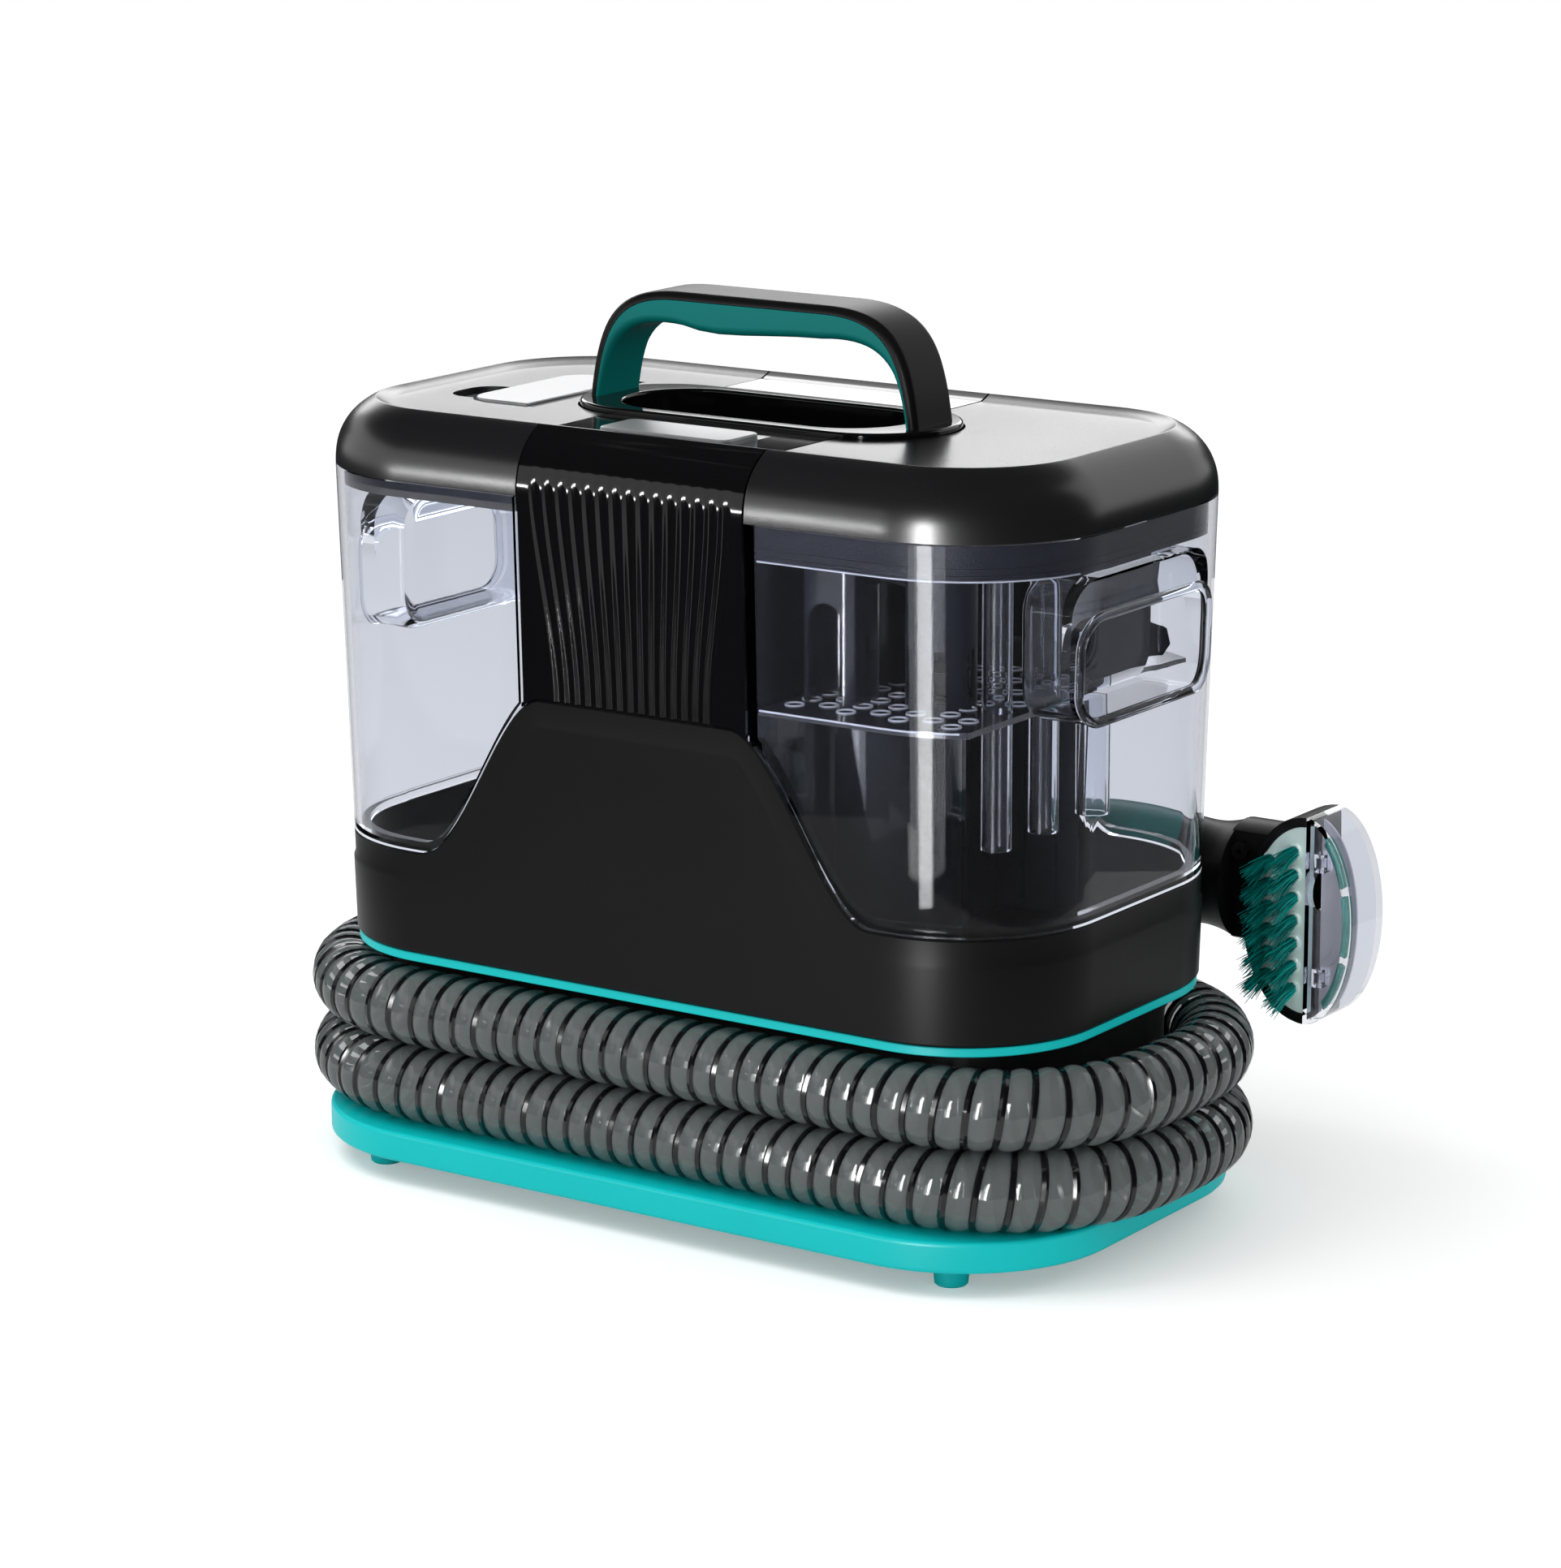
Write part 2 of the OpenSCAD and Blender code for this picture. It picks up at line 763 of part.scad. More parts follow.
// Where the hose leaves the second turn and swings out to the wand
tail = [[-192, -16, 72.2], [-192, 6, 72.2], [-188, 44, 72.5], [-172, 77, 73],
    [-146, 101, 74], [-113, 115, 77], [-84, wand_y - 6, wand_z - 30],
    [-62, wand_y - 1, wand_z - 14], [-42, wand_y, wand_z - 3], [-20, wand_y, wand_z],
    [14, wand_y, wand_z]];

// A quarter turn in six steps, without its first point
function quarter(cx, cy, a0, z) = [for (i = [1:6]) let (a = a0 - 15 * i)
    [cx + turn_r * cos(a), cy + turn_r * sin(a), z]];
function three_corners(x, y, z) = concat([[x, y + turn_r, z]], quarter(x, y, 90, z),
    [[x + turn_r, -y, z]], quarter(x, -y, 0, z), [[-x, -y - turn_r, z]],
    quarter(-x, -y, -90, z));
climb = [for (i = [0:8]) let (t = i / 8)
    [climb_x0 + (climb_x1 - climb_x0) * t, turn_y, turn_z + turn_pitch * ease(t)]];

// A smooth line through points p, in four steps from each to the next
function through(p, i, t) = let (n = len(p) - 1, a = p[max(i - 1, 0)], b = p[i],
    c = p[i + 1], d = p[min(i + 2, n)])
    0.5 * (2 * b + (c - a) * t + (2 * a - 5 * b + 4 * c - d) * t * t
        + (3 * b - a - 3 * c + d) * t * t * t);
swing = concat([for (i = [0:len(tail) - 3], t = [0.25:0.25:1]) through(tail, i, t)],
    [tail[len(tail) - 1]]);

route = concat([[port_x, turn_y, turn_z]], three_corners(corner_x, corner_y, turn_z),
    [[-turn_x, corner_y, turn_z]], quarter(-corner_x, corner_y, 180, turn_z), climb,
    three_corners(corner_x, corner_y, z_second), swing);
along = [for (i = 0, s = 0; i < len(route);
    i = i + 1, s = s + (i < len(route) ? norm(route[i] - route[i - 1]) : 0)) s];
hose_l = along[len(along) - 1];
axis_tables = [for (k = [0:2]) [for (i = [0:len(route) - 1]) [along[i], route[i][k]]]];
function on_route(s) = [for (k = [0:2]) lookup(s, axis_tables[k])];

rib_n = 2 * floor(hose_l / rib_pitch / 2);
rib_step = hose_l / rib_n;
sides = 8;

function ring(s, r) = let (
    ahead = on_route(min(s + 1, hose_l)),
    behind = on_route(max(s - 1, 0)),
    go = (ahead - behind) / norm(ahead - behind),
    side = cross(go, [0, 0, 1]) / norm(cross(go, [0, 0, 1])),
    up = cross(side, go))
    [for (k = [0:sides - 1]) let (a = k * 360 / sides)
        on_route(s) + r * (cos(a) * side + sin(a) * up)];
function join(lists) = [for (l = lists, v = l) v];
// Triangles between rings, whose points start at first
function skin(first, rings, flip) = join([for (i = [0:rings - 2], k = [0:sides - 1])
    let (a = first + i * sides + k, b = first + i * sides + (k + 1) % sides,
        c = b + sides, d = a + sides)
    flip ? [[a, b, c], [a, c, d]] : [[a, c, b], [a, d, c]]]);
function cap(outer, inner, flip) = join([for (k = [0:sides - 1])
    let (m = (k + 1) % sides, a = outer + k, b = outer + m, c = inner + m, d = inner + k)
    flip ? [[a, b, c], [a, c, d]] : [[a, c, b], [a, d, c]]]);

outer_n = 2 * rib_n + 1;
bore_n = rib_n / 2 + 1;
hose_points = join(concat(
    [for (i = [0:outer_n - 1]) ring(i * rib_step / 2, i % 2 == 0 ? hose_valley_r : hose_r)],
    [for (i = [0:bore_n - 1]) ring(i * rib_step * 2, hose_bore_r)]));
bore_first = outer_n * sides;
hose_faces = concat(skin(0, outer_n, false), skin(bore_first, bore_n, true),
    cap(0, bore_first, true),
    cap((outer_n - 1) * sides, bore_first + (bore_n - 1) * sides, false));

// The least distance between parts of the hose that aren't next to each other
middles = [for (i = [0:rib_n]) on_route(i * rib_step)];
apart = ceil(4 * hose_r / rib_step);
least = min([for (i = [0:rib_n - apart], j = [i + apart:rib_n]) norm(middles[i] - middles[j])]);
echo(str("Hose: ", round(hose_l), " mm long, ", rib_n, " ribs, least gap to itself ",
    least - 2 * hose_r, " mm"));

module hose() {
    color([0.35, 0.36, 0.38, 0.7]) polyhedron(points = hose_points, faces = hose_faces);
}

// ---- tanks ----

column_gap_x = 0.8; // from the seam plane to a tank
tank_in = wall + 0.8; // how far a tank draws in under the housing's rim
pocket_drop = 46.5;
pocket_z = z_lid - pocket_drop;
pocket_x = body_l / 2 - pocket_d;
bar_t = 12;
skirt_t = 2;
skirt_fit = tank_wall + fit;

module at_pocket(x) {
    translate([x, 0, pocket_z]) rotate([90, 0, 90]) children();
}

module pocket_recess() {
    open_w = pocket_w - 7;
    open_h = pocket_h * 0.66;
    lip_h = pocket_h - 6;
    at_pocket(pocket_x) translate([0, (open_h - lip_h) / 2, 0])
        rounded_box(open_w, open_h, 12, 0, far);
    at_pocket(pocket_x) rounded_box(open_w, lip_h, 12, 0, pocket_d - bar_t);
}

module tank_space(inset, under, gap, z0, z1, rim_gap) {
    intersection() {
        union() {
            intersection() {
                body_fill(inset, z0, z1);
                above_rim(rim_gap);
            }
            body_fill(inset + under, z0, z1);
        }
        right_side(gap);
    }
}

module tank_shape() {
    difference() {
        tank_space(0, tank_in, column_gap_x, z_tank, z_lid - fit, fit);
        difference() {
            tank_space(tank_wall, tank_in, column_gap_x + tank_wall, z_tank + tank_wall,
                z_lid + 1, fit + 4);
            at_pocket(pocket_x - tank_wall)
                rounded_box(pocket_w, pocket_h, 15, 0, pocket_d + tank_wall);
        }
        pocket_recess();
    }
}

module lid_shape(skirt_h) {
    difference() {
        intersection() {
            lid_fill(0);
            right_side(0.4);
        }
        intersection() {
            lid_fill(wall);
            right_side(0.4 + wall);
        }
    }
    difference() {
        union() {
            intersection() {
                body_fill(skirt_fit, z_lid - skirt_h, z_lid + 2);
                right_side(column_gap_x + skirt_fit);
            }
            intersection() {
                body_fill(wall - 1, z_lid, z_lid + 2);
                right_side(wall - 0.5);
            }
        }
        intersection() {
            body_fill(skirt_fit + skirt_t, z_lid - skirt_h - 1, z_lid + 3);
            right_side(column_gap_x + skirt_fit + skirt_t);
        }
    }
}

module seal_shape(z0) {
    seal_h = 3;
    difference() {
        intersection() {
            body_fill(skirt_fit, z0 - seal_h, z0);
            right_side(column_gap_x + skirt_fit);
        }
        intersection() {
            body_fill(skirt_fit + skirt_t, z0 - seal_h - 1, z0 + 1);
            right_side(column_gap_x + skirt_fit + skirt_t);
        }
    }
}

flap_x = -94; // the flap's hinge
flap_pin_r = 1;
flap_barrel_r = 2;
flap_pin_z = z_top - 2.4;
flap_t = 2.5;
recess_z = z_top - 5.8;
recess_gap = 1;
recess_x0 = flap_x - flap_w - recess_gap;
recess_x1 = flap_x + 4;
neck_x = flap_x - flap_w / 2;
neck_r = 14;
clean_skirt = 4;
dirty_skirt = 14;

module flap_outline(grow, x0, x1, z0, z1) {
    depth = flap_l + 2 * grow;
    translate([(x0 + x1) / 2, 0, 0]) rounded_box(x1 - x0, depth, 12, z0, z1);
    translate([(x0 + x1) / 2, -depth / 2, z0]) cube([(x1 - x0) / 2, depth, z1 - z0]);
}

module clean_tank() {
    color(clear) difference() {
        mirror([1, 0, 0]) tank_shape();
        translate([valve_x, 0, z_tank - 1]) cylinder(h = tank_wall + 2, r = valve_r + slip);
    }
}

module clean_tank_lid() {
    cup_t = 2.5;
    color(graphite) difference() {
        union() {
            mirror([1, 0, 0]) lid_shape(clean_skirt);
            flap_outline(recess_gap + cup_t, recess_x0 - cup_t, recess_x1 + 0.5,
                recess_z - cup_t, z_top - 1);
        }
        flap_outline(recess_gap, recess_x0, recess_x1, recess_z, z_crease);
        translate([neck_x, 0, recess_z - cup_t - 1]) cylinder(h = cup_t + 2, r = neck_r);
        translate([flap_x, flap_l / 2 + 4, flap_pin_z]) rotate([90, 0, 0])
            cylinder(h = flap_l + 8, r = flap_pin_r + slip);
    }
}

module clean_tank_seal() {
    color([0.15, 0.15, 0.15]) mirror([1, 0, 0]) seal_shape(z_lid - clean_skirt);
}

module filler_neck() {
    neck_t = 2.5;
    color(black) translate([neck_x, 0, 0]) difference() {
        translate([0, 0, z_lid - 14]) cylinder(h = recess_z - 2.5 - z_lid + 14, r = neck_r + neck_t);
        translate([0, 0, z_lid - 15]) cylinder(h = 60, r = neck_r);
    }
}

module filler_flap() {
    color("lightgray") difference() {
        union() {
            flap_outline(0, flap_x - flap_w, flap_x, z_top - 1.5, z_top - 1.5 + flap_t);
            translate([flap_x, flap_l / 2, flap_pin_z]) rotate([90, 0, 0])
                cylinder(h = flap_l, r = flap_barrel_r);
        }
        translate([flap_x, flap_l / 2 + 1, flap_pin_z]) rotate([90, 0, 0])
            cylinder(h = flap_l + 2, r = flap_pin_r + slip);
    }
}

module flap_pin() {
    color("silver") translate([flap_x, flap_l / 2 + 3.5, flap_pin_z]) rotate([90, 0, 0])
        cylinder(h = flap_l + 7, r = flap_pin_r);
}

module outlet_valve() {
    z_seat = z_tank + tank_wall;
    z_end = socket_z + 3.5;
    color([0.15, 0.15, 0.15]) translate([valve_x, 0, 0]) difference() {
        union() {
            translate([0, 0, z_end]) cylinder(h = z_seat - z_end, r = valve_r);
            translate([0, 0, z_seat]) cylinder(h = 3, r = valve_r + 4);
        }
        translate([0, 0, z_end - 1]) cylinder(h = 60, r = 5);
    }
}

// The line of the air duct, from the column to the float
duct_r = 12;
duct_x0 = seam_x + 5.5;
duct_x1 = tray_l / 2 + 13;
tank_room = pocket_x - tank_wall - seam_x; // from the seam to the wall of the grip pocket
float_cx = seam_x + 0.61 * tank_room;
float_cy = float_cx * tan(pipe_turn);
cage_r = float_r + 3;
cage_t = 2;
sieve_z = pocket_z - pocket_h / 2 - 3;
sieve_t = 2.5;
plate_z = z_lid - 2;
cage_z0 = sieve_z + sieve_t + fit;
cage_h = 30;
tube_x = seam_x + 0.88 * tank_room;
tube_ys = [-45, -10, 27];
tube_r = 6;
tube_rise = 70; // height of the tubes' lower ends over the strip

module along_duct(from, to, r) {
    translate([0, 0, pipe_z]) rotate([0, 0, pipe_turn]) rotate([0, 90, 0])
        translate([0, 0, from]) cylinder(h = to - from, r = r);
}

module at_tubes() {
    for (y = tube_ys)
        translate([tube_x, y, 0]) children();
}

module dirty_tank() {
    color(clear) difference() {
        tank_shape();
        along_duct(duct_x0, duct_x1, duct_r);
    }
}

module dirty_tank_lid() {
    color(graphite) difference() {
        union() {
            lid_shape(dirty_skirt);
            intersection() {
                body_fill(skirt_fit + 1, plate_z, z_lid);
                right_side(column_gap_x + skirt_fit + 1);
            }
        }
        along_duct(duct_x0, duct_x1, duct_r + 0.5);
        translate([float_cx, float_cy, plate_z - 1]) cylinder(h = 4, r = cage_r - cage_t);
    }
}

module dirty_tank_seal() {
    color([0.15, 0.15, 0.15]) difference() {
        seal_shape(z_lid - dirty_skirt);
        along_duct(duct_x0, duct_x1, duct_r + 0.5);
    }
}

module sieve_plate() {
    step = 12;
    hole_x = seam_x + 11.5;
    hole_y = 19.5 - body_w / 2;
    color(clear) difference() {
        intersection() {
            body_fill(tank_wall + fit, sieve_z, sieve_z + sieve_t);
            right_side(column_gap_x + tank_wall + fit);
            translate([0, -far, 0]) cube([pocket_x - tank_wall - fit, 2 * far, far]);
        }
        for (i = [0:floor((body_l / 2 - 18 - hole_x) / step)], j = [0:8])
            translate([hole_x + i * step, hole_y + (j + (i % 2) / 2) * step, sieve_z - 1])
                cylinder(h = sieve_t + 2, r = sieve_hole_r, $fn = 24);
        at_tubes() translate([0, 0, sieve_z - 1])
            cylinder(h = sieve_t + 2, r = tube_r + fit);
    }
}

// Calms the water at the back of the tank, under and over the sieve plate
module splash_baffle() {
    color([0.1, 0.1, 0.11]) for (level = [[z_floor + 8, sieve_z], [sieve_z + sieve_t, plate_z - fit]])
        translate([seam_x + 7.5, body_w / 2 - 17.5, level[0]])
            cube([40, 2.5, level[1] - level[0]]);
}

module intake_duct() {
    duct_w = 24;
    duct_t = 2;
    duct_x = seam_x + 0.1 * tank_room;
    duct_y = 25.5 - body_w / 2;
    z0 = sieve_z + sieve_t + fit;
    color([0.4, 0.4, 0.42]) translate([duct_x, duct_y, z0]) difference() {
        cube([duct_w, duct_w, plate_z - z0]);
        translate([duct_t, duct_t, -1])
            cube([duct_w - 2 * duct_t, duct_w - 2 * duct_t, plate_z - z0 - 3]);
        translate([duct_w / 2, duct_w / 2, 20]) rotate([90, 0, 0])
            cylinder(h = duct_w, r = duct_w / 2 - 4);
    }
}

module air_duct() {
    start = tray_l / 2 + 4;
    reach = norm([float_cx, float_cy]);
    color([0.3, 0.3, 0.32]) difference() {
        union() {
            translate([float_cx, float_cy, cage_z0 + cage_h])
                cylinder(h = plate_z - cage_z0 - cage_h, r = cage_r);
            along_duct(start, reach, duct_r);
        }
        translate([float_cx, float_cy, cage_z0 + cage_h - 1])
            cylinder(h = plate_z - cage_z0 - cage_h + 2, r = cage_r - cage_t);
        along_duct(start - 1, reach, duct_r - cage_t);
    }
}

module float_cage() {
    color([0.2, 0.2, 0.22]) translate([float_cx, float_cy, cage_z0]) difference() {
        cylinder(h = cage_h, r = cage_r);
        translate([0, 0, 2]) cylinder(h = cage_h, r = cage_r - cage_t);
        translate([0, 0, -1]) cylinder(h = 4, r = float_r - 4);
        for (a = [0:60:300])
            rotate([0, 0, a]) translate([0, -2.5, 6]) cube([cage_r + 1, 5, cage_h - 10]);
    }
}

module float() {
    z0 = cage_z0 + 2 + fit;
    color([0.15, 0.15, 0.15]) translate([float_cx, float_cy, z0]) {
        cylinder(h = 5, r = float_r);
        translate([0, 0, 5]) cylinder(h = 4, r = float_r - 3);
        translate([0, 0, 9]) cylinder(h = 6, r = float_r);
    }
}

module down_tubes() {
    z0 = z_body + tube_rise;
    color(clear) at_tubes() difference() {
        translate([0, 0, z0]) cylinder(h = plate_z - z0, r = tube_r);
        translate([0, 0, z0 - 1]) cylinder(h = plate_z - z0 - 4, r = tube_r - 1.5);
    }
}

// ---- hand tool ----

cuff_x = tail[len(tail) - 1][0];
cuff_l = 32;
cuff_r = 19.5;
wand_x0 = cuff_x + cuff_l;
wand_x1 = 152;
cover_x0 = 60;
cover_x1 = 128;
cover_t = 3;
wand_line = [[wand_x0, 17], [58, 18], [68, 21.5], [80, 24], [100, 24.5], [118, 23.5],
    [134, 22], [144, 23], [wand_x1, 25.5]];
pin_x = 106;
pin_z = wand_z - 30;
trigger_w = 12;
trigger_pin_r = 1.5;
head_y = 118; // the plane of the head's rim
head_t = 28;
head_x = 185.5; // where the brush and the hood meet
head_z = 108.5;
head_w = plate_w + 3.5;
channel_r = 9;
channel_y = head_y + 15;
nozzle_r = 3.5;
nozzle_in = 12; // depth of the nozzle's seat

module on_wand() {
    translate([0, wand_y, wand_z]) rotate([0, 90, 0]) children();
}

// The wand's outer form drawn in by inset
module wand_form(inset) {
    on_wand() rotate_extrude() polygon(concat([[0, wand_x0]],
        [for (p = wand_line) [p[1] - inset, p[0]]], [[0, wand_x1]]));
}

module cover_zone(gap) {
    translate([cover_x0 - gap, wand_y - 50, wand_z + 3 - gap])
        cube([cover_x1 - cover_x0 + 2 * gap, 100, 100]);
}

module hose_cuff() {
    color(black) on_wand() difference() {
        translate([0, 0, cuff_x]) union() {
            cylinder(h = cuff_l, r = cuff_r - 1);
            for (i = [0:3])
                translate([0, 0, 4 + 7 * i]) cylinder(h = 3, r = cuff_r);
        }
        translate([0, 0, cuff_x - 1]) cylinder(h = cuff_l + 2, r = hose_bore_r);
    }
}

module wand_body() {
    ear_t = 3;
    color(black) difference() {
        union() {
            difference() {
                wand_form(0);
                difference() {
                    intersection() {
                        wand_form(-1);
                        cover_zone(0.1);
                    }
                    wand_form(cover_t + 0.1);
                }
            }
            for (s = [-1, 1])
                translate([pin_x - 5, wand_y + s * (trigger_w / 2 + fit + ear_t / 2) - ear_t / 2,
                    pin_z - 5]) cube([10, ear_t, 14]);
        }
        on_wand() translate([0, 0, wand_x0 - 1])
            cylinder(h = wand_x1 - wand_x0 + 2, r = hose_bore_r);
        translate([pin_x, wand_y + 20, pin_z]) rotate([90, 0, 0])
            cylinder(h = 40, r = trigger_pin_r + slip);
    }
}

module wand_cover() {
    color(teal) intersection() {
        difference() {
            wand_form(0);
            wand_form(cover_t);
        }
        cover_zone(0);
    }
}

module trigger() {
    trigger_l = 38;
    color(black) difference() {
        union() {
            translate([pin_x - trigger_l, wand_y - trigger_w / 2, pin_z - 3])
                cube([trigger_l, trigger_w, 5]);
            translate([pin_x, wand_y + trigger_w / 2, pin_z]) rotate([90, 0, 0])
                cylinder(h = trigger_w, r = 4);
        }
        translate([pin_x, wand_y + trigger_w, pin_z]) rotate([90, 0, 0])
            cylinder(h = 2 * trigger_w, r = trigger_pin_r + slip);
    }
}

module trigger_pin() {
    pin_l = trigger_w + 7;
    color("silver") translate([pin_x, wand_y + pin_l / 2, pin_z]) rotate([90, 0, 0])
        cylinder(h = pin_l, r = trigger_pin_r);
}

// The nozzle sits in a blind hole in the flat front of the head's neck
module at_nozzle() {
    translate([wand_x1 + 4.5, head_y + nozzle_in, wand_z + 15]) rotate([90, 0, 0]) children();
}

module spray_nozzle() {
    color([0.2, 0.2, 0.2]) at_nozzle() difference() {
        cylinder(h = nozzle_in + 4, r = nozzle_r);
        translate([0, 0, 6]) cylinder(h = nozzle_in, r = 1.2);
    }
}

// Half an ellipse in X and Z, to the left or right of the head's seam
module head_half(side, width, height, y0, y1) {
    translate([head_x, y1, head_z]) rotate([90, 0, 0]) linear_extrude(y1 - y0)
        polygon([for (a = [-90:7.5:90]) [side * width * cos(a), height / 2 * sin(a)]]);
}

module head_frame() {
    color(black) difference() {
        union() {
            head_half(-1, head_w, head_h, head_y, head_y + head_t);
            intersection() {
                on_wand() translate([0, 0, wand_x1]) cylinder(h = 20, r = 25.5);
                translate([wand_x1, head_y, 0]) cube([40, 60, far]);
            }
        }
        head_half(-1, plate_w, head_h - 8, head_y - 1, head_y + 6);
        translate([wand_x1 - 1, channel_y, wand_z]) rotate([0, 90, 0])
            cylinder(h = 60, r = channel_r);
        at_nozzle() cylinder(h = 2 * nozzle_in, r = nozzle_r + slip);
    }
}

module brush_plate() {
    color([0.75, 0.95, 0.92]) head_half(-1, plate_w - fit, head_h - 8 - 2 * fit,
        head_y + 1, head_y + 6);
}

module bristle_tufts() {
    pitch = 9.7;
    lean = [-0.3, -1, -0.38];
    color(dark_teal) intersection() {
        for (col = [0, 1]) {
            n = 6 + col;
            for (i = [0:n - 1])
                translate([head_x - 16.5 + 11.3 * col, head_y + 2, head_z + (i - (n - 1) / 2) * pitch])
                    rotate([90, 0, 0]) rotate([-atan(lean[2]), atan(lean[0]), 0])
                        cylinder(h = tuft_l, r1 = tuft_r, r2 = tuft_r + 1, $fn = 24);
        }
        union() {
            translate([0, head_y - far, 0]) cube([far, far, far]);
            head_half(-1, plate_w - fit, head_h - 8 - 2 * fit, head_y - 1, head_y + 1);
        }
    }
}

module suction_hood() {
    hood_t = 2;
    color(clear) difference() {
        translate([fit, 0, 0]) head_half(1, hood_w, head_h, head_y, head_y + head_t);
        translate([fit + hood_t, 0, 0])
            head_half(1, hood_w - 2 * hood_t, head_h - 2 * hood_t, head_y - 1, head_y + head_t - hood_t);
        translate([head_x - 1, channel_y, wand_z]) rotate([0, 90, 0])
            cylinder(h = 6, r = channel_r);
    }
}

module suction_hood_clips() {
    color(clear) for (s = [-1, 1])
        translate([head_x + fit + 2, head_y + 3, head_z + s * 24.5 - 4]) cube([5, 6, 8]);
}

module tool_cradle() {
    arm = 5;
    color(black) difference() {
        translate([cradle_x, body_w / 2 - 11.5, wand_z - cuff_r - arm])
            cube([cradle_l, wand_gap + 11.5 + cuff_r + arm, cuff_r + arm + 4]);
        body_fill(-slip, z_body - 10, wand_z + 20);
        on_wand() cylinder(h = far, r = cuff_r + fit);
    }
}

base_plate();
feet();
base_screws();
hose_drum();
accent_strip();
housing();
housing_floor();
column_shell();
centre_panel();
rear_cover();
handle_tray();
carry_handle();
handle_grip();
handle_screws();
power_button();
button_switch();
circuit_board();
motor_mount();
suction_motor();
fan_housing();
impeller();
suction_pipe();
exhaust_filter();
water_pump();
pump_pads();
water_line();
valve_socket();
cord_gland();
hose_port();
hose();
clean_tank();
clean_tank_lid();
clean_tank_seal();
filler_neck();
filler_flap();
flap_pin();
outlet_valve();
dirty_tank();
dirty_tank_lid();
dirty_tank_seal();
sieve_plate();
splash_baffle();
intake_duct();
air_duct();
float_cage();
float();
down_tubes();
tool_cradle();
hose_cuff();
wand_body();
wand_cover();
trigger();
trigger_pin();
spray_nozzle();
head_frame();
brush_plate();
bristle_tufts();
suction_hood();
suction_hood_clips();
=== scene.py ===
import json
import math

import bmesh
import bpy
from mathutils import Matrix, Vector


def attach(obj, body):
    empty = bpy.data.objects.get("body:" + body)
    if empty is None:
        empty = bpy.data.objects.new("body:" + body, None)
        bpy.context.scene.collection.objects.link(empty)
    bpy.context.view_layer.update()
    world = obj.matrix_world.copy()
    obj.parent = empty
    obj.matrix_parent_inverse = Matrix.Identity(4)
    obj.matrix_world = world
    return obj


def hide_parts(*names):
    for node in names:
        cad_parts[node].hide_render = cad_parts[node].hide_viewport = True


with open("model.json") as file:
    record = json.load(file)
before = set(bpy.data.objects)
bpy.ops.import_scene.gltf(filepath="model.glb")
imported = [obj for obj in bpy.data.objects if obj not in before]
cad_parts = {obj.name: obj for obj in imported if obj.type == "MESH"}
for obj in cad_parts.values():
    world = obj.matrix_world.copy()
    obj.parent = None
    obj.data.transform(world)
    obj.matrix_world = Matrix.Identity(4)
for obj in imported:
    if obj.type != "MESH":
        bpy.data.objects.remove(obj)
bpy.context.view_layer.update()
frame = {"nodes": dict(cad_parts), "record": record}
scene = bpy.context.scene
scene.view_settings.view_transform = "Standard"

# ---- camera, at the height and side that the machine is seen from ----

eye = Vector((1.1562, -1.6731, 0.6547))
turn = (
    Matrix.Rotation(math.radians(34.53), 4, "Z")
    @ Matrix.Rotation(math.radians(90 - 13.52), 4, "X")
    @ Matrix.Rotation(math.radians(-0.19), 4, "Z")
)
camera = bpy.data.objects.new("camera", bpy.data.cameras.new("camera"))
scene.collection.objects.link(camera)
camera.matrix_world = Matrix.Translation(eye) @ turn
camera.data.lens = 116.76
camera.data.sensor_width = 36
camera.data.clip_end = 50
scene.camera = camera

# ---- sizes, in millimetres ----

MM = 0.001
Z_STRIP, Z_BODY = 93.4, 97.1  # feet of the accent strip and of the housing
Z_TANK, Z_LID = 100.4, 295.1  # feet of the tanks and of their lids
Z_CREASE, Z_TOP = 322.1, 319.6
CORE_X, CORE_Y = 116.5, 34.0  # centres of the body's corner arcs
LID_R, SHOULDER_H, SHOULDER_IN, RIM_BAND = 63.5, 27.0, 17.0, 6.5
WALL = 3.0
TRAY_L, TRAY_W, TRAY_H = 174.0, 70.0, 19.0
RIM_LOW, RIM_RISE = 140.5, 72.5  # the housing's rim at the ends, and its rise to the middle
FAR = 400.0  # reaches past everything


def ease(t):
    return t * t * (3 - 2 * t)


def body_r(z):
    """Radius of the body's corners, which widen a little towards the lids."""
    return 58 + 5.5 * (z - Z_BODY) / 198


def rim_z(x):
    """Height of the housing's rim at a distance x from the middle."""
    return RIM_LOW + RIM_RISE * ease(min(max((110 - abs(x)) / 64, 0), 1))


def rim_slope(x):
    return (rim_z(abs(x) + 0.5) - rim_z(abs(x) - 0.5)) / 1.0


# ---- modelling tools ----


def spin(bm, geom, steps, centre=(0, 0, 0), angle=0.0, move=(0, 0, 0), axis=(0, 0, 1)):
    done = bmesh.ops.spin(
        bm,
        geom=geom,
        cent=centre,
        axis=axis,
        dvec=move,
        angle=math.radians(angle),
        steps=steps,
        use_merge=False,
        use_duplicate=False,
    )
    return done["geom_last"]


def open_line(bm, points):
    verts = [bm.verts.new(p) for p in points]
    return verts + [bm.edges.new(pair) for pair in zip(verts, verts[1:])]


def weld(bm, dist=1e-3):
    bmesh.ops.remove_doubles(bm, verts=bm.verts, dist=dist)
    bmesh.ops.dissolve_degenerate(bm, edges=bm.edges, dist=1e-4)


def outward(bm):
    bmesh.ops.recalc_face_normals(bm, faces=bm.faces)


def cap(bm):
    weld(bm)
    bmesh.ops.holes_fill(bm, edges=[e for e in bm.edges if e.is_boundary], sides=0)
    outward(bm)
    return bm


